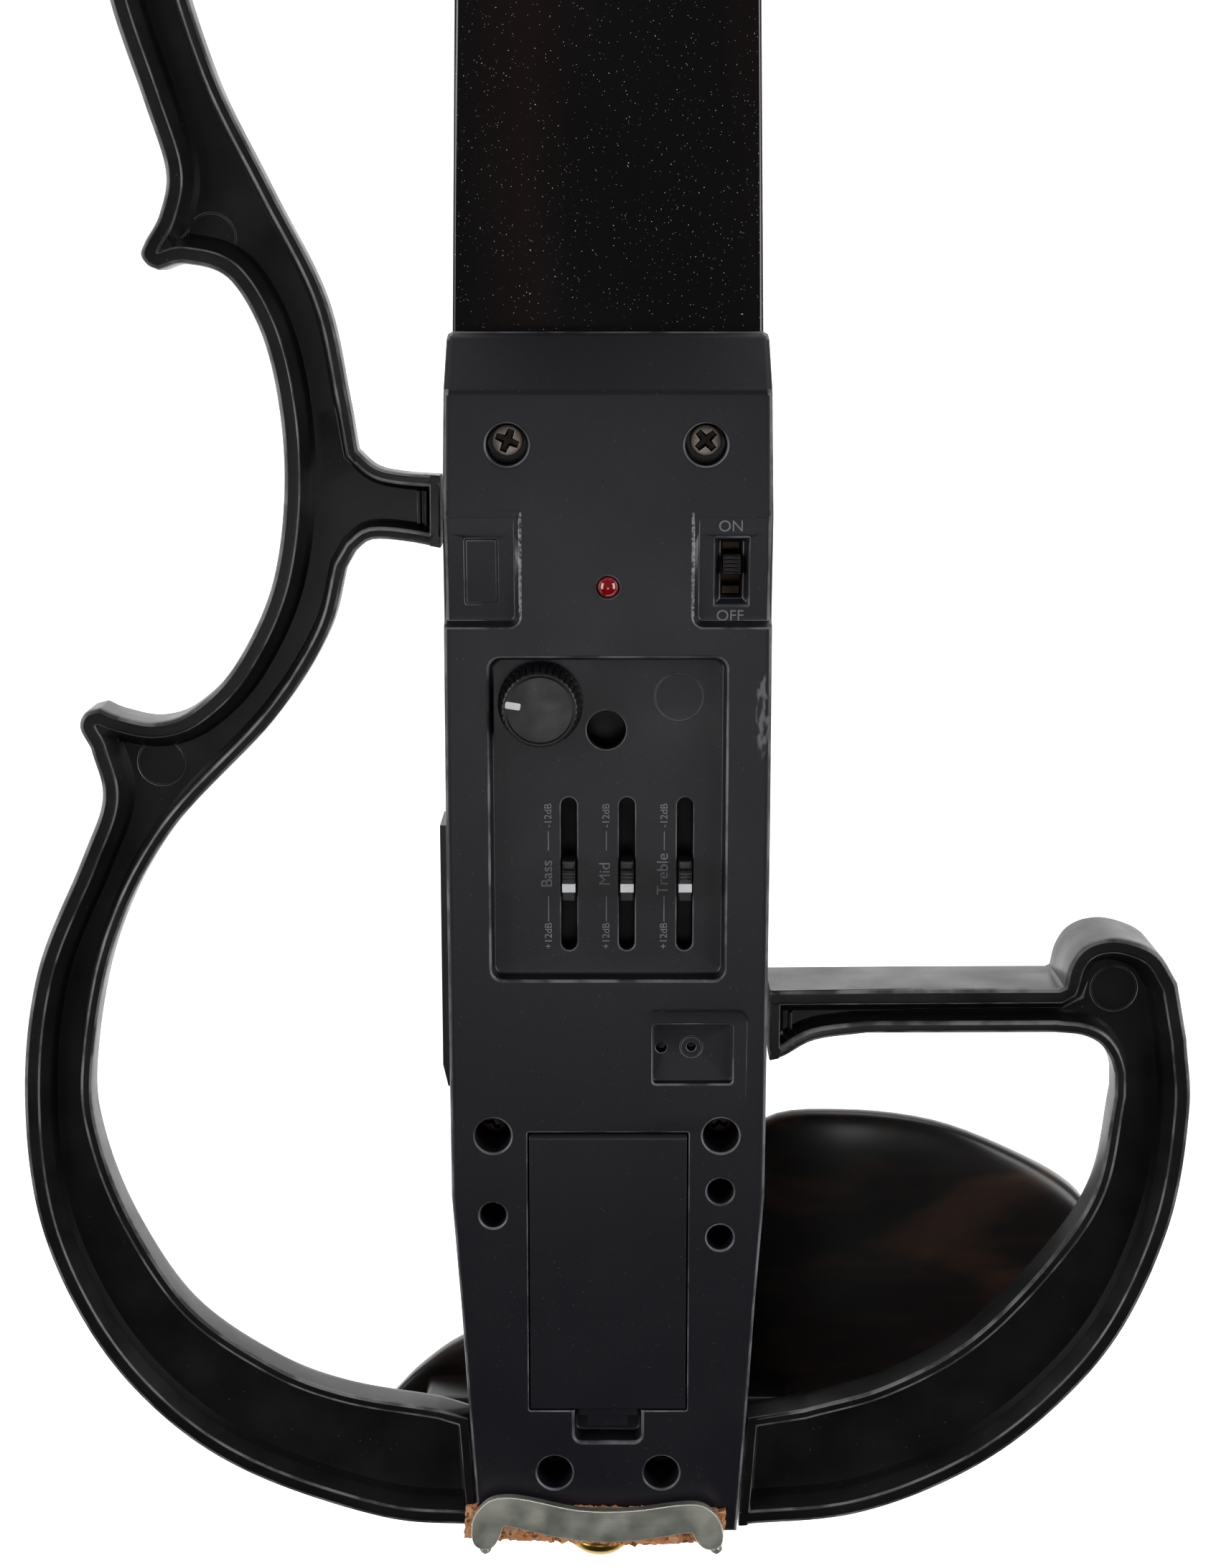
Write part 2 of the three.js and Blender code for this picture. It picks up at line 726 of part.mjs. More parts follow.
// Outer edge of the treble frame, from the heel down to the lower end.
const TREBLE_OUTER = [
  [-8, 354],
  [-26, 354],
  ...smooth(
    [[-26, 354], [-44, 352], [-61, 345], [-74, 333.5], [-82, 318], [-84.5, 301], [-83.8, 285], [-81.4, 270],
      [-76.4, 254], [-73.2, 243], [-74.4, 236], [-77, 231.4]],
    34,
  ).slice(1),
  [-77.7, 229.4],
  [-76.3, 227.6],
  ...smooth(
    [[-74.9, 226.7], [-70.2, 227.7], [-62.8, 224.8], [-57, 212.8], [-54.8, 194], [-57.1, 175], [-63.9, 160.5],
      [-71.6, 152.6], [-78, 150.3], [-84.3, 151.4], [-87.6, 152.8]],
    30,
  ),
  [-90.3, 151.1],
  [-91.1, 149.1],
  ...smooth(
    [[-89.5, 145.7], [-87.8, 136.8], [-91.9, 125.8], [-100.5, 105.6], [-103.8, 83], [-102, 58.7], [-93.5, 37.2],
      [-80.7, 21], [-64.6, 9.9], [-41.3, 1.6], [-24, 0.1]],
    34,
  ),
];
// Its inner edge, from the lower bracket up to the arm, and from the arm up to the heel.
const TREBLE_INNER = [
  [-25.5, 21.4],
  ...smooth(
    [[-30.7, 23.1], [-48, 26.3], [-61.1, 31.8], [-75.3, 42.6], [-85.2, 58.7], [-90.6, 74.5], [-91.4, 88], [-86.7, 110.7],
      [-76.2, 130.8], [-57.6, 150.7], [-48.1, 165.3], [-44.7, 176.9]],
    30,
  ),
  ...smooth([[-43, 179.8], [-40.1, 181.8], [-34.4, 181.5], [-28.5, 180.4]], 6),
  ...smooth([[-28.4, 192.7], [-34.2, 193.1], [-39, 194.1], [-42.3, 196.9]], 6),
  ...smooth(
    [[-43.3, 203.5], [-47.1, 222.1], [-56, 240.4], [-64.6, 258.4], [-70.8, 280], [-72.2, 299], [-68.8, 315],
      [-59.5, 328.5], [-43, 337.5], [-24, 340.5]],
    28,
  ),
  [-8, 340.5],
];

const BASS_OUTER = [
  [28.6, 102.4],
  [79.5, 102.7],
  ...smooth([[80.3, 103.1], [81, 106.6], [84.7, 111.7], [90.6, 111.7], [96.7, 109.1], [100.4, 103.5]], 12),
  ...smooth(
    [[102.5, 93.2], [103.6, 79.7], [101, 58.7], [92.5, 37.2], [79.3, 21], [64.3, 9.9], [45.4, 2.3], [24, 0.1]],
    26,
  ),
];
const BASS_INNER = [
  [25.5, 21.4],
  ...smooth([[35.8, 23.1], [51, 27.8], [66.1, 37], [79.8, 52.3], [87.4, 65.6], [90.1, 82.9]], 22),
  ...smooth([[90.1, 86.5], [88, 91.5], [82.4, 94.3]], 6),
  ...smooth([[45.7, 94.5], [36.7, 93.2], [31.3, 90.3], [28.6, 89.5]], 8),
];

// A band of constant width along a smooth line, used for the frames' channels.
function channelBand(points, half, divisions) {
  const curve = new THREE.SplineCurve(points.map(([x, z]) => new THREE.Vector2(x, z)));
  const left = [];
  const right = [];
  for (let step = 0; step <= divisions; step += 1) {
    const at = curve.getPoint(step / divisions);
    const along = curve.getTangent(step / divisions);
    left.push([at.x - half * along.y, at.y + half * along.x]);
    right.push([at.x + half * along.y, at.y - half * along.x]);
  }
  return plateXZ([...right, ...left.reverse()], FRAME_BACK - 1, FRAME_FLOOR);
}

function trebleFrame() {
  const band = plateXZ([...TREBLE_OUTER, ...TREBLE_INNER], FRAME_BACK, TREBLE_FRAME_FRONT);
  const heelPad = block([-22, -9], [TREBLE_FRAME_FRONT - 1, CORE.back - GAP], [341.5, 353]);
  const channel = channelBand(
    [[-30.8, 11], [-46.2, 14.8], [-63.4, 21.4], [-79.4, 33.4], [-92, 50.7], [-97.4, 69.3], [-97.6, 87], [-93.8, 107.6],
      [-84.1, 127.8], [-69.4, 145.7], [-54.3, 168.2], [-49.8, 186.5], [-49.9, 203.5], [-54, 220.2], [-63.3, 240.4],
      [-70.6, 258.4], [-76.4, 279.6], [-78.3, 299], [-75.2, 316.5], [-65.5, 331.5], [-51, 341.5], [-31, 346.5]],
    3.9,
    64,
  );
  const armChannel = channelBand([[-51.5, 188], [-42, 187], [-31.9, 186.6]], 3.4, 5);
  return band.add(heelPad).subtract(channel).subtract(armChannel);
}

function bassFrame() {
  const band = plateXZ([...BASS_OUTER, ...BASS_INNER], FRAME_BACK, BASS_FRAME_FRONT);
  const arm = block([29, 78], [BASS_FRAME_FRONT - 1, BASS_ARM_FRONT], [95.3, 102]);
  const channel = channelBand(
    [[30.8, 10.4], [47.2, 14.3], [63.4, 22.5], [77.4, 34.5], [88, 49.1], [94.9, 66.1], [96.8, 82.9], [95.7, 97.4]],
    3.8,
    36,
  );
  const armChannel = channelBand([[95, 100], [85.2, 98.6], [59.5, 98.4], [32.7, 98]], 2.4, 10);
  return band.add(arm).subtract(channel).subtract(armChannel);
}

// ---- control housing ----------------------------------------------------------------------

function controlHousing() {
  let body = plateXZ(symmetric(SIDE_LINE, 0), 0, HOUSING.depth);
  const cuts = [];
  // The upper end slopes down towards the body core.
  cuts.push(
    slabYZ(
      [[-1, HOUSING.crease - 1.1], [HOUSING.wedgeY, HOUSING.top], [HOUSING.wedgeY, 220], [-1, 220]].reverse(),
      -40,
      40,
    ),
  );
  // Electronics bay, open towards the body core.
  const baySide = [[24.8, 83], [25.2, 131], [25.1, 191]];
  cuts.push(plateXZ(symmetric(baySide, 0), HOUSING.skin, HOUSING.depth + 1));
  cuts.push(block([RECESS.left, RECESS.right], [-1, RECESS.floorY], [RECESS.bottom, RECESS.top]));
  for (const x of SLIDER.xs) {
    cuts.push(block([x - SLIDER.slotHalf, x + SLIDER.slotHalf], [0, 6], [SLIDER.low, SLIDER.high]));
  }
  cuts.push(rodY(KNOB.x, KNOB.z, KNOB.shaftR + RUNNING, 0, 6));
  cuts.push(rodY(-0.3, 148.9, 3.4, 0, 6));
  cuts.push(rodY(LED.x, LED.z, LED.radius + GAP, -1, 6));
  // Two side pockets, deepest at their lower end; the power switch sits in the bass one.
  const pocket = [[0, 186.7], [1.9, 167.9], [-1, 167.9], [-1, 186.7]];
  cuts.push(slabYZ(pocket, 14.5, 34));
  cuts.push(slabYZ(pocket, -34, -15));
  cuts.push(block([18, 24], [-1, 2.8], [170.6, 182.6]));
  cuts.push(block([SWITCH.x - SWITCH.slotHalf, SWITCH.x + SWITCH.slotHalf], [0, 6], [SWITCH.low, SWITCH.high]));
  for (const screw of HOUSING_SCREWS) {
    cuts.push(rodY(screw.x, screw.z, 3.4, -1, 4.2));
    cuts.push(rodY(screw.x, screw.z, 1.75, 4, HOUSING.depth + 1, 12));
  }
  for (const well of WELLS) {
    cuts.push(rodY(well.x, well.z, well.r, -1, 11));
  }
  // Small access pocket with two pin holes.
  cuts.push(block([7.9, 21.9], [-1, 1.6], [86, 96.8]));
  cuts.push(rodY(9.4, 92.2, 1, 1, 3.4, 12));
  cuts.push(rodY(14.7, 92.3, 0.85, 1, 3.4, 12));
  // Battery bay, its door's seat, the finger notch and the jack panel's seat.
  cuts.push(block([DOOR.left - GAP, DOOR.right + GAP], [-1, 15], [DOOR.bottom - GAP, DOOR.top + GAP]));
  cuts.push(block([DOOR.left - GAP, DOOR.right + GAP], [3, 15], [DOOR.top - 1, BAY_TOP]));
  cuts.push(block([-6, 6], [-1, 4.6], [18.1, DOOR.bottom]));
  cuts.push(block([-40, -24], [PANEL.backY - GAP, 15], [PANEL.bottom - GAP, PANEL.top + GAP]));
  for (const cut of cuts) {
    body = body.subtract(cut);
  }
  return body;
}

function batteryDoor() {
  const r = DOOR.thickness / 2;
  const end = [];
  for (let step = 0; step <= 6; step += 1) {
    const angle = (Math.PI * step) / 6;
    end.push([r + r * Math.cos(angle), DOOR.top - r + r * Math.sin(angle)]);
  }
  const panel = slabYZ([[0, DOOR.bottom], [DOOR.thickness, DOOR.bottom], ...end], DOOR.left, DOOR.right);
  const tongue = block([-5.3, 5.3], [0.3, 2], [23.1, DOOR.bottom + 1]);
  const latch = block([-3.8, 3.6], [0.6, 3.8], [20.9, 23.4]);
  return panel.add(tongue).add(latch);
}

function battery() {
  const { width, length, depth, back, bottom } = BATTERY;
  return block([-width / 2, width / 2], [back, back + depth], [bottom, bottom + length]);
}

function batteryContacts() {
  const z = BATTERY.bottom + BATTERY.length + GAP;
  return block([-12, 12], [4, 13.5], [z, z + 4]);
}

function sliderPot(x) {
  const body = block([x - 3.9, x + 3.9], [5.5, 10.7], [SLIDER.low - 3.4, SLIDER.high + 3.4]);
  const half = SLIDER.slotHalf;
  return body.subtract(block([x - half, x + half], [5, 9], [SLIDER.low - 0.5, SLIDER.high + 0.5]));
}

function sliderCap(x) {
  const cap = block([x - 1.15, x + 1.15], [-0.6, 6], [SLIDER.z - 3.5, SLIDER.z + 3.5]);
  return cap.add(block([x - 0.9, x + 0.9], [5, 8.6], [SLIDER.z - 2, SLIDER.z + 2]));
}

function volumePot() {
  const bore = KNOB.shaftR + RUNNING;
  return turned([[0, 9.4], [bore, 9.4], [bore, 5.5], [7.4, 5.5], [7.4, 10.7], [0, 10.7], [0, 9.4]], 24)
    .translate(KNOB.x, 0, KNOB.z);
}

function volumeKnob() {
  const floor = RECESS.floorY - GAP;
  const top = floor - KNOB.height;
  return turned(
    [[0, top], [KNOB.topR - 0.8, top], [KNOB.topR, top + 0.8], [KNOB.baseR, floor - 1.2], [KNOB.baseR, floor],
      [KNOB.shaftR, floor], [KNOB.shaftR, 9], [0, 9]],
    36,
  ).translate(KNOB.x, 0, KNOB.z);
}

function powerSwitch() {
  const body = block([SWITCH.x - 3.6, SWITCH.x + 3.6], [5.5, 10.7], [168, 185.8]);
  const half = SWITCH.slotHalf;
  return body.subtract(block([SWITCH.x - half, SWITCH.x + half], [5, 8.6], [SWITCH.low, SWITCH.high]));
}

function powerSwitchActuator() {
  return block([SWITCH.x - 1.55, SWITCH.x + 1.55], [0.4, 8.2], [SWITCH.z - 1.7, SWITCH.z + 1.7]);
}

function led() {
  const r = LED.radius;
  return turned([[0, -1.1], [0.9, -0.95], [1.5, -0.4], [r, 0.4], [r, 10.7], [0, 10.7]], 20)
    .translate(LED.x, 0, LED.z);
}

function circuitBoard() {
  return block([-24, 24], [11.2, 12.8], [104, 189]);
}

function housingScrew(screw) {
  const head = turned([[0, 2.2], [1.8, 2.3], [2.7, 3], [2.7, 3.7], [1.35, 3.7], [1.35, 22], [0, 23.4]], 20);
  const body = solid(head.translate(screw.x, 0, screw.z));
  const slotA = block([screw.x - 1.8, screw.x + 1.8], [2, 3], [screw.z - 0.35, screw.z + 0.35]);
  const slotB = block([screw.x - 0.35, screw.x + 0.35], [2, 3], [screw.z - 1.8, screw.z + 1.8]);
  return body.subtract(slotA).subtract(slotB);
}

function jackPanel() {
  const outline = [
    [PANEL.inner, PANEL.bottom],
    [PANEL.inner, PANEL.top],
    [PANEL.outer, PANEL.top],
    [PANEL.outer, PANEL.bottom + 4],
    [PANEL.outer + 0.9, PANEL.bottom],
  ];
  const hole = (y, z, r) => rodX(y, z, r + GAP, PANEL.outer - 1, PANEL.inner + 1);
  return plateXZ(outline, PANEL.backY, HOUSING.depth)
    .subtract(hole(JACKS.lineY, JACKS.lineZ, JACKS.lineR))
    .subtract(hole(JACKS.phonesY, JACKS.phonesZ, JACKS.phonesR));
}

// A socket along X: a tube with its mouth just inside the panel's face and a closed far end.
function jack(y, z, outer, bore, depth) {
  const mouth = PANEL.outer + 0.3;
  const shell = rodX(y, z, outer, mouth, mouth + depth);
  return shell.subtract(rodX(y, z, bore, mouth - 1, mouth + depth - 1.6));
}

// ---- assembly -----------------------------------------------------------------------------

add("body_core", bodyCore(), looks.glossWood);
add("neck", neck(), looks.maple);
add("fingerboard", fingerboard(), looks.ebony);
add("nut", nut(), looks.ebony);

for (const string of STRINGS) {
  const place = new THREE.Group();
  place.position.set(0, string.pegY, string.pegZ);
  place.rotation.z = -string.side * (Math.PI / 2);
  violin.add(place);
  add(`peg_${string.name}`, peg(), looks.ebony, place);
  const winding = pegWinding().translate(0, string.side * string.windX, 0);
  add(`string_winding_${string.name}`, winding, looks.stringSteel, place);
  add(`string_${string.name}`, stringTube(string), looks.stringSteel);

  const tuner = tunerPlace(string);
  violin.add(tuner);
  add(`tuner_lever_${string.name}`, tunerLever(), looks.steel, tuner);
  add(`tuner_screw_${string.name}`, tunerScrew(), looks.steel, tuner);
}

add("bridge", bridge(), looks.maple);
add("bridge_pickup", block([-21, 21], [PICKUP.low, PICKUP.high], [158, 164]), looks.brass);
add("tailpiece", tailpiece(), looks.ebony);
add("tail_gut", tailGut(), looks.nylon);
add("tail_saddle", tailSaddle(), looks.ebony);
add("end_button", endButton(), looks.brass);

add("chin_rest", chinRest(), looks.ebony);
add("chin_rest_cork", chinRestCork(), looks.cork);
add("chin_bracket", chinBracket(), looks.steel);
add("clamp_barrel_treble", clampBarrel(-1), looks.steel);
add("clamp_barrel_bass", clampBarrel(1), looks.steel);
add("clamp_foot", clampFoot(), looks.steel);
add("clamp_cork", clampCork(), looks.cork);

add("treble_frame", trebleFrame(), looks.framePlastic);
add("bass_frame", bassFrame(), looks.framePlastic);

add("control_housing", controlHousing(), looks.housingPlastic);
add("battery_door", batteryDoor(), looks.housingPlastic);
add("battery", battery(), looks.batteryCase);
add("battery_contacts", batteryContacts(), looks.component);
add("circuit_board", circuitBoard(), looks.board);
for (const [index, name] of ["low", "mid", "high"].entries()) {
  const x = SLIDER.xs[index];
  add(`slider_pot_${name}`, sliderPot(x), looks.component);
  add(`slider_cap_${name}`, sliderCap(x), looks.component);
}
add("volume_pot", volumePot(), looks.component);
add("volume_knob", volumeKnob(), looks.component);
add("power_switch", powerSwitch(), looks.darkSteel);
add("power_switch_actuator", powerSwitchActuator(), looks.component);
add("led", led(), looks.redLens);
for (const screw of HOUSING_SCREWS) {
  add(screw.name, housingScrew(screw), looks.darkSteel);
}
add("jack_panel", jackPanel(), looks.housingPlastic);
add("line_jack", jack(JACKS.lineY, JACKS.lineZ, JACKS.lineR, 3.25, 25), looks.steel);
add("phones_jack", jack(JACKS.phonesY, JACKS.phonesZ, JACKS.phonesR, 1.85, 14), looks.steel);

export default violin;
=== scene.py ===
import json
import math

import bmesh
import bpy
import numpy as np
from mathutils import Euler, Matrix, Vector
from mathutils.geometry import delaunay_2d_cdt


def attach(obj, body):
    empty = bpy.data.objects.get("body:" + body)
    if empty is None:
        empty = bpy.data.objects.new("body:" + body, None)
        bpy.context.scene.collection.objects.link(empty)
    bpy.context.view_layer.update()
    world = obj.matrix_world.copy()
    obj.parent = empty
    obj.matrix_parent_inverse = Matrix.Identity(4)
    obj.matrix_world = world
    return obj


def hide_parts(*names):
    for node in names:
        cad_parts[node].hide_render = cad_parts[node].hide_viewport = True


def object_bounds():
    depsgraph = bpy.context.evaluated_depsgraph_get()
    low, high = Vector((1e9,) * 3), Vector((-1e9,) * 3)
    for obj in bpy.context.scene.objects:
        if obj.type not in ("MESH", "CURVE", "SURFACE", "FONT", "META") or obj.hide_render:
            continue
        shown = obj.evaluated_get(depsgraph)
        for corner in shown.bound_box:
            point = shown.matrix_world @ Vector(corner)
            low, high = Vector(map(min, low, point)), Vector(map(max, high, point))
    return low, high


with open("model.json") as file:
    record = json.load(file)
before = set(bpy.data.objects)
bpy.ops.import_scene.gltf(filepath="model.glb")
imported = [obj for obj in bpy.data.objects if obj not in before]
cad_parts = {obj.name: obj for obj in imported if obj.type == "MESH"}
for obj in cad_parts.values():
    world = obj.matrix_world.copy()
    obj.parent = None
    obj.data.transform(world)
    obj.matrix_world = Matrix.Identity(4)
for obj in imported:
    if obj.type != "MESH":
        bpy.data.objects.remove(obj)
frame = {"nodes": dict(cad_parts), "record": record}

cad_low, cad_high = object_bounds()
nodes = frame["nodes"]
slots = {part["node"]: part["material_slot"] for part in frame["record"]["subparts"]}

HANGER = {"height": 480, "depth": 18}  # the frame's origin, in the violin's own millimetres

FRAME = {"back": 2.5, "floor": 4.5, "edge": 7.5, "crown": 4.6,
         "treble_front": 12, "bass_front": 14, "arm_front": 18.5}
HOUSING = {"top": 216.5, "crease": 207.3, "wedge": 9, "depth": 14, "skin": 5.2}
RECESS = {"left": -20.3, "right": 20.3, "bottom": 105, "top": 161.8, "depth": 3}
SLIDERS = {"low": -6.8, "mid": 3.3, "high": 13.4}
SLOT = {"bottom": 109.6, "top": 137, "half": 1.4}
CAP_Z = 122.8
KNOB = {"x": -11.6, "z": 153.6, "height": 7}
SWITCH = {"x": 21, "z": 177.8}
LED = {"x": 0, "z": 174, "radius": 1.8}
SCREWS = {"housing_screw_treble": (-17, 198.6), "housing_screw_bass": (16.5, 198.6)}
POCKET = {"top": 186.7, "bottom": 167.2, "depth": 1.9}
LARGE_WELLS = [(-20.4, 76.4), (20, 76.4), (-9.7, 12), (9.7, 12)]
SMALL_WELLS = [(-20.5, 61.5), (20, 66), (20, 57.3)]
WELL = {"large": 3.2, "small": 2.35, "depth": 10.8, "screw": 9.2}
CAMERA = {"lens": 57.9, "sensor": 36, "place": (0, -0.4437, -0.2542), "target": (0, -0.018, -0.340)}
WELD = 2e-6  # metres between points that become one
WEAR_AND_HIGHLIGHT = {"wide": 0.00035, "deep": 0.0008}  # the largest faces, in metres, that handling rubs light and that get a painted highlight
DOOR = {"left": -14, "right": 14, "bottom": 24.4, "top": 76.7, "gap": 0.3}


def metres(x, y, z):
    return Vector((x, y - HANGER["depth"], z - HANGER["height"])) / 1000


# ---- camera, lights and surroundings ---------------------------------------------------------


def make_camera():
    bpy.context.scene.view_settings.view_transform = "Standard"
    camera = bpy.data.objects.new("camera", bpy.data.cameras.new("camera"))
    camera.data.sensor_width = CAMERA["sensor"]
    camera.data.lens = CAMERA["lens"]
    camera.location = CAMERA["place"]
    aim(camera, CAMERA["target"])
    bpy.context.scene.collection.objects.link(camera)
    bpy.context.scene.camera = camera


def aim(thing, target):
    """Turns a camera or a lamp to face a place."""
    way = Vector(target) - thing.location
    thing.rotation_euler = way.to_track_quat("-Z", "Y").to_euler()


def area_light(name, place, target, size, power):
    light = bpy.data.lights.new(name, "AREA")
    light.shape = "RECTANGLE"
    light.size, light.size_y = size
    light.energy = power
    lamp = bpy.data.objects.new(name, light)
    lamp.location = place
    aim(lamp, target)
    lamp.visible_camera = False
    bpy.context.scene.collection.objects.link(lamp)


def add_node(tree, kind, inputs=None, **settings):
    """A shader node; each input is given a value or another node's output."""
    node = tree.nodes.new(kind)
    for name, value in settings.items():
        setattr(node, name, value)
    for name, value in (inputs or {}).items():
        if isinstance(value, bpy.types.NodeSocket):
            tree.links.new(value, node.inputs[name])
        else:
            node.inputs[name].default_value = value
    return node


def mapped(tree, value, low, high, start, end):
    """Maps value from low..high onto start..end, held at both ends."""
    inputs = {"Value": value, "From Min": low, "From Max": high, "To Min": start, "To Max": end}
    return add_node(tree, "ShaderNodeMapRange", inputs).outputs["Result"]


def make_world():
    """A pale room: bright behind the violin; on the side its back faces, dim and darker downwards."""
    world = bpy.data.worlds.new("pale_room")
    world.use_nodes = True
    bpy.context.scene.world = world
    tree = world.node_tree
    place = add_node(tree, "ShaderNodeTexCoord").outputs["Generated"]
    way = add_node(tree, "ShaderNodeSeparateXYZ", {0: place}).outputs
    dim = mapped(tree, way["Z"], -0.35, 0.2, 0.01, 0.1)
    behind = mapped(tree, way["Y"], -0.16, 0.24, 0, 1)
    lit = add_node(tree, "ShaderNodeMix", {"Factor": behind, "A": dim, "B": 0.45}).outputs["Result"]
    camera_ray = add_node(tree, "ShaderNodeLightPath").outputs["Is Camera Ray"]
    seen = add_node(tree, "ShaderNodeMath", {0: lit, 1: camera_ray}, operation="MAXIMUM")
    background = tree.nodes["Background"].inputs
    tree.links.new(seen.outputs[0], background["Strength"])
    background["Color"].default_value = (1, 1, 1, 1)


def make_floor():
    """A pale floor well below the hanging violin, rising behind it in one soft sweep."""
    half = 1.5
    low = cad_low.z - 0.4
    bend = 0.6
    back = 1.6
    profile = [(-0.1, low)]
    for step in range(13):
        angle = math.pi / 2 * step / 12
        profile.append((back - bend + bend * math.sin(angle), low + bend - bend * math.cos(angle)))
    profile.append((back, low + 2.2))
    mesh = bpy.data.meshes.new("floor")
    points = [(x, y, z) for y, z in profile for x in (-half, half)]
    quads = [(2 * i, 2 * i + 1, 2 * i + 3, 2 * i + 2) for i in range(len(profile) - 1)]
    mesh.from_pydata(points, [], quads)
    floor = bpy.data.objects.new("floor", mesh)
    bpy.context.scene.collection.objects.link(floor)
    mesh.shade_smooth()
    mesh.materials.append(pale_floor())


# ---- materials -------------------------------------------------------------------------------


class Look:
    """A Principled material built node by node, with object coordinates in metres."""

    def __init__(self, name, colour, roughness, metallic=0.0, coat=0.0, specular=0.5, coat_roughness=0.06):
        self.material = bpy.data.materials.new(name)
        self.material.use_nodes = True
        self.tree = self.material.node_tree
        self.inputs = self.tree.nodes["Principled BSDF"].inputs
        for socket, value in (("Roughness", roughness), ("Metallic", metallic), ("Coat Weight", coat),
                              ("Coat Roughness", coat_roughness), ("Specular IOR Level", specular)):
            self.inputs[socket].default_value = value
        self.place = self.node("ShaderNodeTexCoord").outputs["Object"]
        self.colour = self.node("ShaderNodeRGB").outputs[0]
        self.colour.default_value = (*colour, 1)
        self.roughness = None
        self.normal = None

    def node(self, kind, inputs=None, **settings):
        return add_node(self.tree, kind, inputs, **settings)

    def noise(self, scale, detail=3, stretch=(1, 1, 1), roughness=0.5, distortion=0.0):
        place = self.node("ShaderNodeMapping", {"Scale": stretch, "Vector": self.place}).outputs["Vector"]
        inputs = {"Scale": scale, "Detail": detail, "Roughness": roughness, "Distortion": distortion}
        return self.node("ShaderNodeTexNoise", {**inputs, "Vector": place}).outputs["Fac"]

    def cells(self, scale, output="Distance"):
        return self.node("ShaderNodeTexVoronoi", {"Scale": scale, "Vector": self.place}).outputs[output]

    def flecks(self, scale, size):
        """Scattered dots of a radius, as a share of their spacing; some are bright, some faint."""
        dots = self.ramp(self.cells(scale), size, 0.6 * size)
        return self.times(dots, self.ramp(self.noise(0.55 * scale, 1), 0.42, 0.66))

    def ramp(self, value, low, high, start=0.0, end=1.0):
        return mapped(self.tree, value, low, high, start, end)

    def times(self, a, b):
        return self.node("ShaderNodeMath", {0: a, 1: b}, operation="MULTIPLY").outputs[0]

    def tint(self, mask, colour, amount):
        """Mixes a colour over what is there, where mask is 1."""
        inputs = {"Factor": self.times(mask, amount), "A": self.colour, "B": (*colour, 1)}
        self.colour = self.node("ShaderNodeMix", inputs, data_type="RGBA").outputs["Result"]

    def cloud(self, noise, low, high, colour, amount):
        """Tints where a noise, given by its arguments, rises from low to high."""
        self.tint(self.ramp(self.noise(*noise), low, high), colour, amount)

    def rough(self, value, low, high, start, end):
        self.roughness = self.ramp(value, low, high, start, end)

    def bump(self, value, distance, strength):
        inputs = {"Distance": distance, "Strength": strength, "Height": value}
        if self.normal is not None:
            inputs["Normal"] = self.normal
        self.normal = self.node("ShaderNodeBump", inputs).outputs["Normal"]

    def attribute(self, name):
        return self.node("ShaderNodeAttribute", attribute_name=name).outputs["Fac"]

    def rubbed_and_highlit_edges(self, colour, amount):
        """Lightens narrow chamfers: partly wear, where handling rubs the surface, partly a painted highlight
        where their edges catch light.
        """
        patchy = self.ramp(self.noise(160, 5), 0.4, 0.6, 0.2, 1)
        self.tint(self.times(self.attribute("edge_wear_and_highlight"), patchy), colour, amount)

    def spot(self, centre, reach):
        """1 inside an oval patch and 0 outside it, fading over its rim; its axes are X, Y and Z."""
        moved = [-c / r for c, r in zip(centre, reach)]
        scaled = [1 / r for r in reach]
        place = self.node("ShaderNodeMapping", {"Location": moved, "Scale": scaled, "Vector": self.place})
        away = self.node("ShaderNodeVectorMath", {0: place.outputs["Vector"]}, operation="LENGTH")
        return self.ramp(away.outputs["Value"], 1, 0.7)

    def done(self):
        for name, value in (("Base Color", self.colour), ("Roughness", self.roughness), ("Normal", self.normal)):
            if value is not None:
                self.tree.links.new(value, self.inputs[name])
        return self.material


def housing_plastic():
    look = Look("housing_plastic", (0.0062, 0.0056, 0.0092), 0.39, specular=0.5)
    look.cloud((14, 3), 0.3, 0.75, (0.0078, 0.0071, 0.011), 0.7)
    look.tint(look.flecks(900, 0.12), (0.07, 0.07, 0.075), 0.8)
    # narrow edges lightened: edge wear together with a painted highlight
    look.rubbed_and_highlit_edges((0.17, 0.175, 0.19), 0.85)
    # painted highlight along the side pockets' lips, speckled like wear
    speckled = look.ramp(look.noise(1500, 5), 0.44, 0.56)
    look.tint(look.times(speckled, look.attribute("painted_light_and_wear")), (0.26, 0.265, 0.285), 0.9)
    scuff = look.ramp(look.noise(1100, 5, (1, 1, 0.35)), 0.46, 0.56)
    rubbed = look.spot(metres(26.5, 0, 152.5), (0.0013, 0.003, 0.0085))
    look.tint(look.times(scuff, rubbed), (0.13, 0.133, 0.14), 0.9)
    look.rough(look.noise(60, 5), 0.3, 0.7, 0.36, 0.43)
    look.bump(look.noise(3500, 2), 0.00003, 0.5)
    look.bump(look.noise(40, 2), 0.00005, 0.2)
    return look.done()


def frame_plastic():
    look = Look("frame_plastic", (0.004, 0.004, 0.0045), 0.34, specular=0.45)
    look.cloud((18, 3), 0.35, 0.75, (0.006, 0.006, 0.0067), 0.7)
    look.tint(look.flecks(600, 0.1), (0.07, 0.07, 0.07), 0.7)
    # narrow edges lightened: edge wear together with a painted highlight
    look.rubbed_and_highlit_edges((0.19, 0.19, 0.195), 0.85)
    look.rough(look.noise(90, 5), 0.3, 0.7, 0.26, 0.42)
    look.bump(look.noise(2600, 2), 0.00002, 0.4)
    look.bump(look.noise(45, 2), 0.00005, 0.2)
    return look.done()


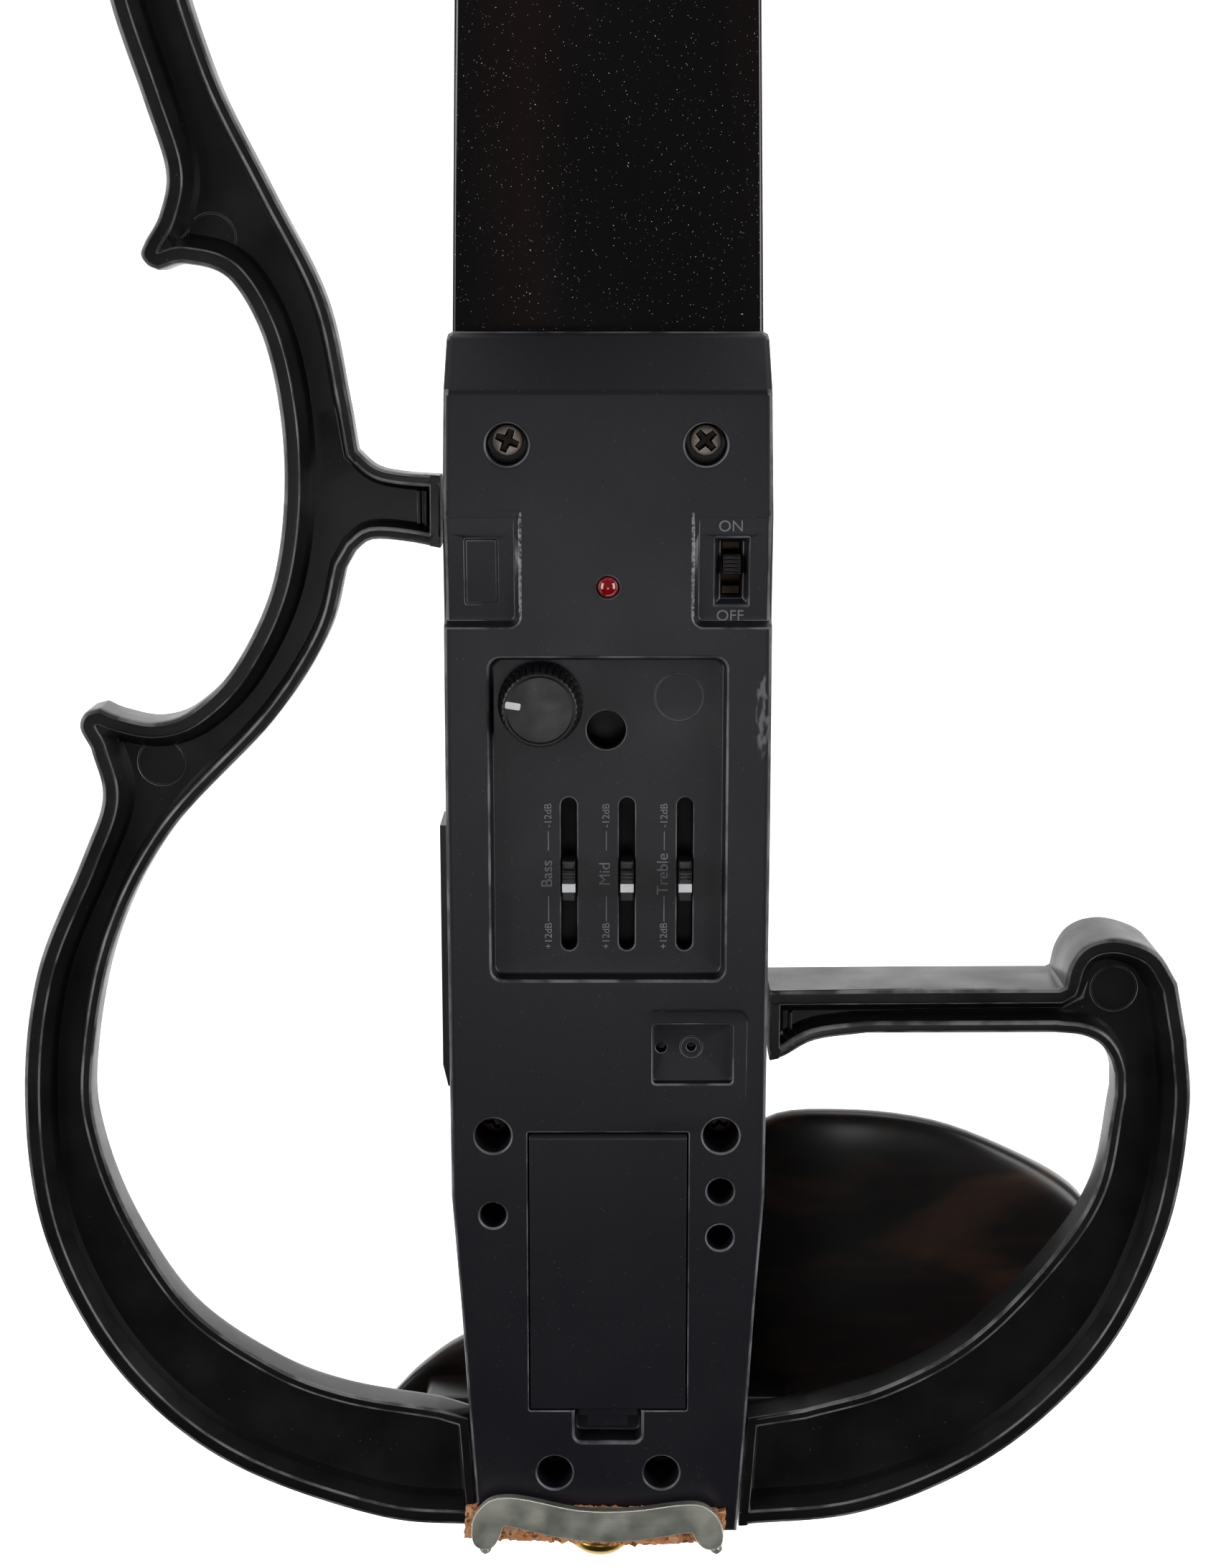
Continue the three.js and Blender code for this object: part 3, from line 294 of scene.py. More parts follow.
def gloss_wood():
    look = Look("gloss_wood", (0.0024, 0.0018, 0.0022), 0.16, coat=0.6, specular=0.3)
    look.cloud((26, 5, (1, 1, 0.16)), 0.5, 0.75, (0.014, 0.0045, 0.0035), 0.75)
    for scale, size in ((1700, 0.11), (1000, 0.09)):
        look.tint(look.flecks(scale, size), (0.8, 0.83, 0.85), 0.95)
    look.rough(look.noise(40, 3), 0.3, 0.7, 0.1, 0.2)
    look.bump(look.noise(25, 2), 0.0002, 0.12)
    return look.done()


def ebony():
    look = Look("ebony", (0.0055, 0.0038, 0.0035), 0.34, coat=0.35, specular=0.4, coat_roughness=0.3)
    streak = look.noise(34, 6, (0.45, 1, 1.7), 0.6, 1.4)
    look.tint(look.ramp(streak, 0.5, 0.78), (0.05, 0.018, 0.008), 0.9)
    look.cloud((420, 4, (0.12, 1, 1)), 0.55, 0.8, (0.02, 0.009, 0.006), 0.7)
    look.rough(streak, 0.3, 0.8, 0.28, 0.42)
    look.bump(look.noise(900, 3, (0.1, 1, 1)), 0.00004, 0.4)
    return look.done()


def maple():
    look = Look("maple", (0.46, 0.25, 0.1), 0.4, coat=0.15)
    flame = look.noise(60, 2, (0.5, 0.5, 2.2), 0.5, 0.6)
    look.tint(look.ramp(flame, 0.35, 0.7), (0.62, 0.38, 0.18), 0.7)
    look.cloud((700, 4, (1, 1, 0.05)), 0.5, 0.8, (0.3, 0.15, 0.055), 0.5)
    look.rough(flame, 0.3, 0.8, 0.34, 0.48)
    look.bump(look.noise(900, 3, (1, 1, 0.06)), 0.00003, 0.4)
    return look.done()


def cork(name, colour, light):
    look = Look(name, colour, 0.92, specular=0.2)
    grain = look.cells(620, output="Color")
    look.tint(look.ramp(grain, 0.3, 0.9), light, 0.8)
    pores = look.ramp(look.noise(1300, 5), 0.55, 0.64)
    look.tint(pores, (0.12, 0.045, 0.02), 0.85)
    look.rough(look.noise(300, 3), 0.3, 0.7, 0.85, 1)
    look.bump(look.cells(800), 0.0005, 0.7)
    look.bump(look.noise(2200, 4), 0.0002, 0.8)
    return look.done()


def brushed(name, colour, roughness, stretch=(0.06, 1, 1), grain=0.45, patches=0.6):
    look = Look(name, colour, roughness, metallic=1.0)
    lines = look.noise(2600, 4, stretch)
    dull = tuple(0.62 * part for part in colour)
    look.tint(look.ramp(lines, 0.4, 0.75), dull, grain)
    look.cloud((140, 5), 0.56, 0.72, dull, patches)
    # painted shade: marked faces, such as a screw's cross recess, are darkened nearly to black
    look.tint(look.attribute("painted_light_and_wear"), (0.012, 0.009, 0.008), 0.93)
    look.rough(look.noise(200, 4), 0.3, 0.7, roughness - 0.07, roughness + 0.09)
    look.bump(lines, 0.00002, 0.5)
    return look.done()


def moulded(name, colour, roughness, light=1.6):
    look = Look(name, colour, roughness)
    paler = tuple(min(1, light * part) for part in colour)
    look.cloud((240, 4), 0.4, 0.7, paler, 0.7)
    look.rough(look.noise(180, 4), 0.3, 0.7, roughness - 0.06, roughness + 0.08)
    look.bump(look.noise(3000, 2), 0.00003, 0.5)
    return look.done()


def red_lens():
    look = Look("red_lens", (0.3, 0.003, 0.006), 0.06, coat=1.0)
    look.cloud((900, 2), 0.4, 0.7, (0.16, 0.001, 0.003), 0.8)
    look.inputs["Transmission Weight"].default_value = 0.1
    look.inputs["IOR"].default_value = 1.5
    look.rough(look.noise(400, 2), 0.3, 0.7, 0.05, 0.1)
    return look.done()


def wound_string():
    look = Look("string_steel", (0.56, 0.56, 0.55), 0.28, metallic=1.0)
    turns = look.node("ShaderNodeTexWave", {"Scale": 900, "Vector": look.place}, bands_direction="Z")
    look.tint(look.ramp(turns.outputs["Fac"], 0.2, 0.8), (0.3, 0.3, 0.3), 0.6)
    look.rough(look.noise(300, 3), 0.3, 0.7, 0.22, 0.36)
    look.bump(turns.outputs["Fac"], 0.00005, 0.6)
    return look.done()


def pale_floor():
    look = Look("pale_floor", (0.93, 0.93, 0.93), 0.8, specular=0.1)
    look.cloud((3, 2), 0.3, 0.7, (0.95, 0.95, 0.95), 0.5)
    look.inputs["Emission Color"].default_value = (1, 1, 1, 1)
    look.inputs["Emission Strength"].default_value = 0.95
    return look.done()


LOOKS = {
    "gloss_wood": gloss_wood(),
    "maple": maple(),
    "ebony": ebony(),
    "brass": brushed("brass", (0.42, 0.28, 0.07), 0.3),
    "nylon": moulded("nylon", (0.012, 0.012, 0.013), 0.4),
    "cork": cork("cork", (0.52, 0.21, 0.09), (0.8, 0.46, 0.28)),
    "steel": brushed("steel", (0.9, 0.9, 0.8), 0.42, grain=0.15, patches=0.1),
    "dark_steel": brushed("dark_steel", (0.46, 0.39, 0.35), 0.42, (1, 1, 1)),
    "frame_plastic": frame_plastic(),
    "housing_plastic": housing_plastic(),
    "battery_case": brushed("battery_case", (0.09, 0.1, 0.13), 0.35, (1, 1, 0.1)),
    "component": moulded("component", (0.0015, 0.0015, 0.0016), 0.6),
    "circuit_board": moulded("circuit_board", (0.002, 0.009, 0.004), 0.5),
    "knob_plastic": moulded("knob_plastic", (0.004, 0.004, 0.0045), 0.3),
    "red_lens": red_lens(),
    "string_steel": wound_string(),
}
WHITE_MARK = moulded("white_mark", (0.62, 0.63, 0.64), 0.5, 1.25)
# a much darker copy of the cork: painted shade for the pad that sits under the chin rest
SHADED_CORK = cork("cork_painted_shade", (0.045, 0.02, 0.012), (0.075, 0.04, 0.024))
DULL_BRONZE = brushed("dull_bronze", (0.085, 0.055, 0.04), 0.55)
# the lettering's pale grey is a painted highlight, standing in for the light its raised letters catch
HIGHLIT_LETTERING = moulded("raised_lettering_painted_highlight", (0.15, 0.15, 0.165), 0.42, 1.5)


# ---- mesh helpers ----------------------------------------------------------------------------


def make_piece(name, shell, slot, smooth=None, replaces=(), body="violin", look=None, mark=None):
    """A piece made from a shell; mark gives the faces that get painted light, painted shade on some pieces and a
    painted highlight with wear on others; smooth is a crease angle.
    """
    mesh = bpy.data.meshes.new(name)
    mesh.from_pydata([metres(*point) for point in shell.points], [], shell.faces)
    work = bmesh.new()
    work.from_mesh(mesh)
    bmesh.ops.remove_doubles(work, verts=work.verts, dist=WELD)
    # faces that get edge wear and a painted highlight
    wear_and_highlight = edge_wear_and_highlight(work.faces)
    work.to_mesh(mesh)
    work.free()
    mesh.attributes.new("edge_wear_and_highlight", "FLOAT", "FACE").data.foreach_set("value", wear_and_highlight)
    if mark:
        origin = Vector((0, HANGER["depth"], HANGER["height"]))
        marks = [float(mark(polygon.center * 1000 + origin)) for polygon in mesh.polygons]
        mesh.attributes.new("painted_light_and_wear", "FLOAT", "FACE").data.foreach_set("value", marks)
    piece = place_piece(name, mesh, look or LOOKS[slot], replaces, body)
    if smooth:
        smooth_shading(piece, smooth)


def place_piece(name, mesh, look, replaces=(), body="violin"):
    piece = bpy.data.objects.new(name, mesh)
    mesh.materials.append(look)
    bpy.context.scene.collection.objects.link(piece)
    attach(piece, body)
    if replaces:
        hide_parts(*replaces)
    return piece


def edge_wear_and_highlight(faces):
    """1 for narrow faces that turn away over a convex edge, where handling rubs the surface and a painted
    highlight goes, else 0.
    """

    def slants(face):
        width = face.calc_area() / max(edge.calc_length() for edge in face.edges)
        levels = [corner.co.y for corner in face.verts]
        small = width < WEAR_AND_HIGHLIGHT["wide"] and max(levels) - min(levels) < WEAR_AND_HIGHLIGHT["deep"]
        return small and abs(face.normal.y) < 0.97

    def turns(face):
        angles = [edge.calc_face_angle_signed(0) for edge in face.edges if len(edge.link_faces) == 2]
        return max([0, *angles]) > math.radians(15)

    worn_and_highlit = {face for face in faces if slants(face) and turns(face)}
    for face in list(worn_and_highlit):
        for edge in face.edges:
            for other in edge.link_faces:
                if other.normal.dot(face.normal) > 0.99 and slants(other):
                    worn_and_highlit.add(other)
    return [float(face in worn_and_highlit) for face in faces]


def smooth_shading(piece, angle):
    piece.data.shade_smooth()
    piece.data.set_sharp_from_angle(angle=math.radians(angle))
    weighted = piece.modifiers.new("weighted_normals", "WEIGHTED_NORMAL")
    weighted.keep_sharp = True


def catmull(points, steps):
    """Points along a smooth curve through the given points, steps for each stretch."""
    first = 2 * np.array(points[0]) - points[1]
    last = 2 * np.array(points[-1]) - points[-2]
    ends = [first, *map(np.array, points), last]
    curve = []
    for a, b, c, d in zip(ends, ends[1:], ends[2:], ends[3:]):
        for step in range(steps):
            t = step / steps
            bend = (2 * a - 5 * b + 4 * c - d) * t**2 + (3 * b - a - 3 * c + d) * t**3
            curve.append(0.5 * (2 * b + (c - a) * t + bend))
    curve.append(np.array(points[-1], float))
    return [tuple(point) for point in curve]


def circle(x, z, radius, count=32):
    turn = [2 * math.pi * step / count for step in range(count)]
    return [(x + radius * math.cos(a), z + radius * math.sin(a)) for a in turn]


def rounded(left, right, bottom, top, radius, steps=5):
    corners = [
        (right - radius, top - radius, 0),
        (left + radius, top - radius, 1),
        (left + radius, bottom + radius, 2),
        (right - radius, bottom + radius, 3),
    ]
    outline = []
    for x, z, quarter in corners:
        for step in range(steps + 1):
            angle = math.pi / 2 * (quarter + step / steps)
            outline.append((x + radius * math.cos(angle), z + radius * math.sin(angle)))
    return outline


def distance_to(points, line, closed=True):
    """Distance of each point to a line of straight stretches."""
    start = np.array(line, float)
    end = np.roll(start, -1, axis=0)
    if not closed:
        start, end = start[:-1], end[:-1]
    along = end - start
    length = np.maximum((along**2).sum(1), 1e-12)
    best = np.full(len(points), np.inf)
    for a, d, l2 in zip(start, along, length):
        t = np.clip(((points - a) @ d) / l2, 0, 1)
        best = np.minimum(best, np.linalg.norm(points - a - t[:, None] * d, axis=1))
    return best


def is_inside(points, outline):
    x, z = points[:, 0], points[:, 1]
    inside = np.zeros(len(points), bool)
    for (ax, az), (bx, bz) in zip(outline, outline[1:] + outline[:1]):
        if az == bz:
            continue
        crosses = (az > z) != (bz > z)
        inside ^= crosses & (x < (bx - ax) * (z - az) / (bz - az) + ax)
    return inside


def signed_distance(points, outline):
    """Negative inside the outline."""
    distance = distance_to(points, outline)
    return np.where(is_inside(points, outline), -distance, distance)


def moved_line(line, distance, closed=True):
    """The line moved to its left by distance, without the points that would fold over."""
    points = np.array(line, float)
    before = np.roll(points, 1, axis=0)
    after = np.roll(points, -1, axis=0)
    if not closed:
        before[0] = 2 * points[0] - points[1]
        after[-1] = 2 * points[-1] - points[-2]
    a = points - before
    b = after - points
    a /= np.maximum(np.linalg.norm(a, axis=1), 1e-9)[:, None]
    b /= np.maximum(np.linalg.norm(b, axis=1), 1e-9)[:, None]
    left_a = np.stack([-a[:, 1], a[:, 0]], 1)
    left_b = np.stack([-b[:, 1], b[:, 0]], 1)
    middle = left_a + left_b
    middle /= np.maximum(np.linalg.norm(middle, axis=1), 1e-9)[:, None]
    reach = distance / np.maximum((middle * left_a).sum(1), 0.5)
    moved = points + middle * reach[:, None]
    clear = distance_to(moved, line, closed) > abs(distance) * 0.97
    return [tuple(point) for point in moved[clear]]


def anticlockwise(line):
    area = sum(a[0] * b[1] - b[0] * a[1] for a, b in zip(line, line[1:] + line[:1]))
    return line if area > 0 else line[::-1]


def follow(profile, reach):
    """The profile's second values at given first values."""
    return np.interp(reach, [d for d, _ in profile], [y for _, y in profile])


class Feature:
    """A closed outline with a profile: pairs of distance outside the outline and depth added there."""

    def __init__(self, outline, profile, scale=None):
        self.outline = anticlockwise(outline)
        self.profile = sorted(profile)
        self.scale = scale

    def depth(self, points):
        depth = follow(self.profile, signed_distance(points, self.outline))
        return depth * self.scale(points) if self.scale else depth

    def rings(self):
        for distance, _ in self.profile:
            ring = moved_line(self.outline, -distance) if distance else self.outline
            if len(ring) > 2:
                yield ring, True


def sunk(outline, depth, edge=0.35, foot=0.3, draft=0.06, scale=None):
    """A recess with a rounded rim and a small fillet round its floor."""
    profile = [(edge + 0.15, 0), (edge, 0), (0.29 * edge, 0.29 * edge), (0, edge)]
    profile += [(-draft, depth - foot), (-draft - 0.29 * foot, depth - 0.29 * foot), (-draft - foot, depth)]
    return Feature(outline, profile, scale)


def groove(outline, width=0.22, depth=0.14):
    """A thin engraved line along an outline."""
    half = width / 2
    return Feature(outline, [(-width, 0), (-half, depth), (half, depth), (width, 0)])


def flat(points):
    return np.zeros(len(points))


def relief(outline, depth=flat, loops=(), holes=()):
    """Points (x, z), depths and faces of a sheet cut to an outline and creased along loops."""
    coords = []
    edges = []
    for line, closed in [(outline, True), *((hole, True) for hole in holes), *loops]:
        start = len(coords)
        coords += [Vector(point) for point in line]
        edges += [(start + i, start + i + 1) for i in range(len(line) - 1)]
        if closed:
            edges.append((start + len(line) - 1, start))
    found = delaunay_2d_cdt(coords, edges, [], 0, 1e-4)
    points = np.array([tuple(point) for point in found[0]])
    faces = [face for face in found[2] if len(face) == 3]
    centres = points[np.array(faces)].mean(axis=1)
    kept = is_inside(centres, outline)
    for hole in holes:
        kept &= ~is_inside(centres, hole)
    faces = [face for face, keep in zip(faces, kept) if keep]
    return points, depth(points), faces


def borders(faces):
    """Directed edges that only one face uses."""
    used = {(a, b) for face in faces for a, b in zip(face, face[1:] + face[:1])}
    return [(a, b) for a, b in used if (b, a) not in used]


class Shell:
    """Gathers points and faces of a piece, in the violin's millimetres."""

    def __init__(self):
        self.points = []
        self.faces = []

    def add(self, points, faces):
        start = len(self.points)
        self.points += [tuple(map(float, point)) for point in points]
        self.faces += [tuple(start + i for i in face) for face in faces]

    def back(self, sheet, level):
        """A sheet that faces backwards, its depth counted forwards from a level."""
        points, depth, faces = sheet
        self.add([(x, level + y, z) for (x, z), y in zip(points, depth)], faces)

    def front(self, sheet, level):
        points, depth, faces = sheet
        flipped = [tuple(reversed(face)) for face in faces]
        self.add([(x, level - y, z) for (x, z), y in zip(points, depth)], flipped)

    def walls(self, sheet, level, reach):
        """Walls from a back sheet's borders forwards to the level that reach gives for each point."""
        points, depth, faces = sheet
        ends = reach(points)
        for a, b in borders(faces):
            corners = [(b, depth[b] + level), (a, depth[a] + level), (a, ends[a]), (b, ends[b])]
            self.add([(points[i][0], y, points[i][1]) for i, y in corners], [(0, 1, 2, 3)])

    def slab(self, outline, low, high, depth=flat, loops=()):
        """A sheet at low that faces backwards, with walls forwards to high."""
        sheet = relief(outline, depth, loops)
        self.back(sheet, low)
        self.walls(sheet, low, lambda points: np.full(len(points), high))

    def rings(self, points, count, flipped=False):
        """Quads between neighbouring rings of count points each."""
        faces = []
        for start in range(0, len(points) - count, count):
            for step in range(count):
                a = start + step
                b = start + (step + 1) % count
                faces.append((a, a + count, b + count, b) if flipped else (a, b, b + count, a + count))
        self.add(points, faces)


# ---- open frames -----------------------------------------------------------------------------

# Each side of a frame is walked with the frame on its left.
TREBLE_OUTER = [
    (-8, 354),
    (-17, 354),
    *catmull([(-26, 354), (-44, 352), (-61, 345), (-74, 333.5), (-82, 318), (-84.5, 301), (-83.8, 285),
              (-81.4, 270), (-76.4, 254), (-73.2, 243), (-74.4, 236), (-77, 231.4)], 10),
    *catmull([(-77, 231.4), (-77.8, 229.3), (-76.7, 227.5), (-74.9, 226.7)], 4)[1:-1],
    *catmull([(-74.9, 226.7), (-70.2, 227.7), (-62.8, 224.8), (-57, 212.8), (-54.8, 194), (-57.1, 175),
              (-63.9, 160.5), (-71.6, 152.6), (-78, 150.3), (-84.3, 151.4), (-87.6, 152.8)], 10),
    *catmull([(-87.6, 152.8), (-90.2, 151.9), (-91.2, 149.3), (-89.5, 145.7)], 4)[1:-1],
    *catmull([(-89.5, 145.7), (-87.8, 136.8), (-91.9, 125.8), (-100.5, 105.6), (-103.8, 83), (-102, 58.7),
              (-93.5, 37.2), (-80.7, 21), (-64.6, 9.9), (-41.3, 1.6), (-24, 0.1)], 10),
]
TREBLE_LOWER_INNER = [
    (-25.5, 21.4),
    *catmull([(-30.7, 23.1), (-48, 26.3), (-61.1, 31.8), (-75.3, 42.6), (-85.2, 58.7), (-90.6, 74.5),
              (-91.4, 88), (-86.7, 110.7), (-76.2, 130.8), (-57.6, 150.7), (-48.1, 165.3),
              (-44.7, 176.9)], 10),
    *catmull([(-43, 179.8), (-40.1, 181.8), (-34.4, 181.5), (-28.5, 180.4)], 4),
]
TREBLE_UPPER_INNER = [
    *catmull([(-28.4, 192.7), (-34.2, 193.1), (-39, 194.1), (-42.3, 196.9)], 4),
    *catmull([(-43.3, 203.5), (-47.1, 222.1), (-56, 240.4), (-64.6, 258.4), (-70.8, 280), (-72.2, 299),
              (-68.8, 315), (-59.5, 328.5), (-43, 337.5), (-24, 340.5)], 10),
    (-8, 340.5),
]
BASS_ARM_TOP = [(28.6, 102.4), (54, 102.6), (79.5, 102.7)]
LOBE = catmull([(80.3, 103.1), (81.2, 107), (83.2, 110), (86.5, 111.6), (91, 111.6), (96.7, 109.1),
                (100.4, 103.5)], 5)
BASS_OUTER = [
    *BASS_ARM_TOP,
    *LOBE,
    *catmull([(102.5, 93.2), (103.6, 79.7), (101, 58.7), (92.5, 37.2), (79.3, 21), (64.3, 9.9), (45.4, 2.3),
              (24, 0.1)], 10),
]
BASS_INNER = [
    (25.5, 21.4),
    *catmull([(35.8, 23.1), (51, 27.8), (66.1, 37), (79.8, 52.3), (87.4, 65.6), (90.1, 82.9)], 10),
    *catmull([(90, 86.8), (89, 89.9), (87, 92.6), (83.8, 94.1), (79.1, 94.6)], 4),
    *catmull([(45.7, 94.5), (36.7, 93.2), (31.3, 90.3), (28.6, 89.5)], 5),
]

# Across a frame's edge: distance in from the edge, and depth below the rim.
OUTER_RIM = [(0, 0.7), (0.2, 0.2), (0.7, 0), (0.9, 0), (2.2, 0), (2.5, 0.02), (2.7, 0.15), (2.8, 0.4),
             (4.2, 2.5), (4.4, 3), (5, 4.5)]
INNER_RIM = [(0, 0.5), (0.15, 0.15), (0.5, 0), (0.65, 0), (1.5, 0.03), (1.8, 0.12), (2, 0.3), (2.1, 0.7),
             (2.5, 3.9), (3.1, 4.5)]
END_RIM = [(0, 0.3), (0.3, 0), (1.6, 0), (1.8, 0.3), (2, 3.9), (2.6, 4.5)]


def inward_lines(line, profile, outline):
    """Copies of one side of an outline, moved inwards by each distance of a profile."""
    lines = []
    for distance, _ in profile[1:]:
        for way in (1, -1):
            moved = moved_line(line, way * distance, closed=False)
            middle = np.array(moved[len(moved) // 2 : len(moved) // 2 + 1])
            if len(moved) > 1 and is_inside(middle, outline)[0]:
                lines.append((moved, False))
    return lines


def frame_sides(*lines):
    """A frame's sides in order round it: its outer line, its inner lines, and the ends between them."""
    sides = []
    for line, following in zip(lines, lines[1:] + lines[:1]):
        sides.append((line, INNER_RIM if sides else OUTER_RIM))
        sides.append(([line[-1], following[0]], END_RIM))
    return sides


def frame_shell(sides, marks, front):
    """A channel-shaped band with its sides as (line, profile); marks are extra features of its floor."""
    outline = anticlockwise([point for line, _ in sides for point in line])

    def depth(points):
        levels = [follow(profile, distance_to(points, line, closed=False)) for line, profile in sides]
        lowest = np.min(levels, axis=0)
        floor = lowest > FRAME["floor"] - 0.05
        for mark in marks:
            lowest = lowest + np.where(floor, mark.depth(points), 0)
        return lowest

    loops = []
    for line, profile in sides:
        loops += inward_lines(line, profile, outline)
    for mark in marks:
        loops += mark.rings()
    back = relief(outline, depth, loops)
    shell = Shell()
    shell.back(back, FRAME["back"])
    edge = Feature(outline, [(-0.9, 0), (-0.26, 0.26), (0, 0.9)])
    crown = []
    for step in (0, 0.06, 0.2, 0.42, 0.7, 1):
        drop = (front - FRAME["edge"]) * (1 - math.sqrt(1 - (1 - step) ** 2))
        crown.append((FRAME["crown"] * step, drop))
    inner = [line for line, profile in sides if profile is INNER_RIM]

    def front_depth(points):
        rounding = [follow(crown, distance_to(points, line, closed=False)) for line in inner]
        return np.max([edge.depth(points), *rounding], axis=0)

    loops = list(edge.rings())
    for line in inner:
        loops += inward_lines(line, crown, outline)
    shell.front(relief(outline, front_depth, loops), front)
    shell.walls(back, FRAME["back"], lambda points: front - front_depth(points))
    return shell


def ejector_mark(x, z):
    return groove(circle(x, z, 4.1, 28), 0.2, 0.1)


def rib(left, right, bottom, top, height):
    """A small raised rib on a channel's floor."""
    outline = rounded(left, right, bottom, top, 0.15, 2)
    return Feature(outline, [(0.15, 0), (0, -height + 0.15), (-0.1, -height)])


def treble_frame():
    sides = frame_sides(TREBLE_OUTER, TREBLE_LOWER_INNER, TREBLE_UPPER_INNER)
    marks = [ejector_mark(-66.5, 232), ejector_mark(-78, 142.5)]
    marks.append(rib(-32.6, -32, 183.5, 190, 1.6))
    marks.append(rib(-31.4, -30.9, 183.5, 190, 1.2))
    shell = frame_shell(sides, marks, FRAME["treble_front"])
    pad = rounded(-22, -9, 341.5, 353, 1)
    pad_front = FRAME["treble_front"] + 2
    shell.slab(pad, FRAME["treble_front"] - 0.5, pad_front)
    shell.front(relief(pad), pad_front)
    make_piece("treble_bout_frame", shell, "frame_plastic", 38, ["treble_frame"])


def bass_frame():
    marks = [ejector_mark(90, 101.5), rib(32.2, 32.7, 92, 97.5, 1.4)]
    shell = frame_shell(frame_sides(BASS_OUTER, BASS_INNER), marks, FRAME["bass_front"])
    arm = anticlockwise([*BASS_ARM_TOP, *LOBE, (97, 95.3), (28.6, 95.3)])
    edge = Feature(arm, [(-0.8, 0), (-0.23, 0.23), (0, 0.8)])
    shell.slab(arm, FRAME["bass_front"] - 1, FRAME["arm_front"] - 0.8)
    shell.front(relief(arm, edge.depth, edge.rings()), FRAME["arm_front"])
    make_piece("bass_bout_frame", shell, "frame_plastic", 38, ["bass_frame"])


# ---- control housing -------------------------------------------------------------------------

HOUSING_SIDE = [(23.6, 0.2), (25.1, 22), (26.4, 44), (27.9, 65), (28.1, 131), (28, 167.6), (28, 168.2),
                (28, 186), (27.4, 215.2)]


def housing_outline():
    corner = [(27.2, 216.1), (26.4, 216.5)]
    right = HOUSING_SIDE + corner
    left = [(-x, z) for x, z in reversed(right)]
    return anticlockwise(right + left)


def pocket_scale(points):
    """The side pockets get deeper from their upper end, where they start gently, to their lower one."""
    down = np.clip((POCKET["top"] - points[:, 1]) / (POCKET["top"] - POCKET["bottom"]), 0, 1)
    start = 0.2
    return np.where(down < start, down**2 / (2 * start), down - start / 2) / (1 - start / 2)


def lip_scale(points):
    """The raised lips along a side pocket's slope start a little below its upper end."""
    return np.clip((POCKET["top"] - 0.6 - points[:, 1]) / 1.5, 0, 1)


def side_pocket(side):
    inner = {1: 14.5, -1: 15}[side]
    outline = [(side * 40, POCKET["top"]), (side * inner, POCKET["top"])]
    corner = 1.8
    for step in range(7):
        angle = math.pi / 2 * step / 6
        x = inner + corner - corner * math.cos(angle)
        z = POCKET["bottom"] + corner - corner * math.sin(angle)
        outline.append((side * x, z))
    outline.append((side * 40, POCKET["bottom"]))
    slope = [(0.1, 0), (0, 0.12), (-0.9, POCKET["depth"] - 0.12), (-1, POCKET["depth"])]
    lips = [(0.36, 0), (0.22, -0.12), (0.04, 0), (-0.8, 0), (-0.94, -0.08), (-1.08, 0)]
    return Feature(outline, slope, pocket_scale), Feature(outline, lips, lip_scale)


def housing_features():
    recess = rounded(RECESS["left"], RECESS["right"], RECESS["bottom"], RECESS["top"], 1.9)
    features = [
        sunk(recess, RECESS["depth"], edge=0.45, foot=0.4, draft=0.3),
        *side_pocket(1),
        *side_pocket(-1),
        groove(rounded(-24.2, -18.8, 171, 182.1, 0.3, 2), 0.3, 0.22),
        Feature(rounded(18, 24, 170.6, 182.6, 0.2, 2), [(0.1, 0), (0, 0.12), (-0.25, 0.16), (-0.9, 1.3)]),
        sunk(rounded(19.1, 22.9, 171.9, 181.7, 0.1, 2), 1.4, edge=0.1, foot=0.1),
        groove(circle(12.2, 154.8, 4.1, 40), 0.16, 0.1),
        sunk(rounded(7.9, 21.9, 86, 96.8, 0.6), 1.6, edge=0.3, foot=0.2),
        Feature(rounded(6, 24.6, 80, 99.4, 2.2), [(0.4, 0), (0, 0.08), (-0.3, 0.22)], step_scale),
        sunk(circle(9.4, 92.2, 1, 16), 2.2, edge=0.12, foot=0.1),
        sunk(circle(14.7, 92.3, 0.85, 16), 2.2, edge=0.12, foot=0.1),
        groove(circle(14.7, 92.3, 1.9, 20), 0.2, 0.12),
        sunk(rounded(-6, 6, 18.1, 25, 1.3), 4.6, edge=0.55, foot=0.4),
    ]
    for x, z in SCREWS.values():
        lip = [(0.6, 0), (0.3, 0.05), (0.09, 0.2), (0, 0.6), (-0.08, 4.1), (-0.2, 4.2)]
        features.append(Feature(circle(x, z - 0.6, 3.55, 36), lip))
    for places, radius in ((LARGE_WELLS, WELL["large"]), (SMALL_WELLS, WELL["small"])):
        features += [sunk(circle(x, z, radius), WELL["depth"], draft=0.15) for x, z in places]
    return features


def step_scale(points):
    """The raised border beside the access pocket fades out below it and towards the treble side."""
    down = np.clip((points[:, 1] - 84) / 4, 0, 1)
    across = np.clip((points[:, 0] - 7) / 3, 0, 1)
    return down * across


def housing_holes():
    half, bottom, top = SLOT["half"], SLOT["bottom"], SLOT["top"]
    holes = [rounded(x - half, x + half, bottom, top, half - 0.01, 6) for x in SLIDERS.values()]
    holes.append(circle(-0.3, 148.9, 3.4, 36))
    holes.append(circle(KNOB["x"], KNOB["z"], 3.35, 28))
    holes.append(circle(LED["x"], LED["z"], LED["radius"] + 0.12, 28))
    holes.append(rounded(SWITCH["x"] - 1.75, SWITCH["x"] + 1.75, 172.1, 181.5, 0.1, 2))
    return holes


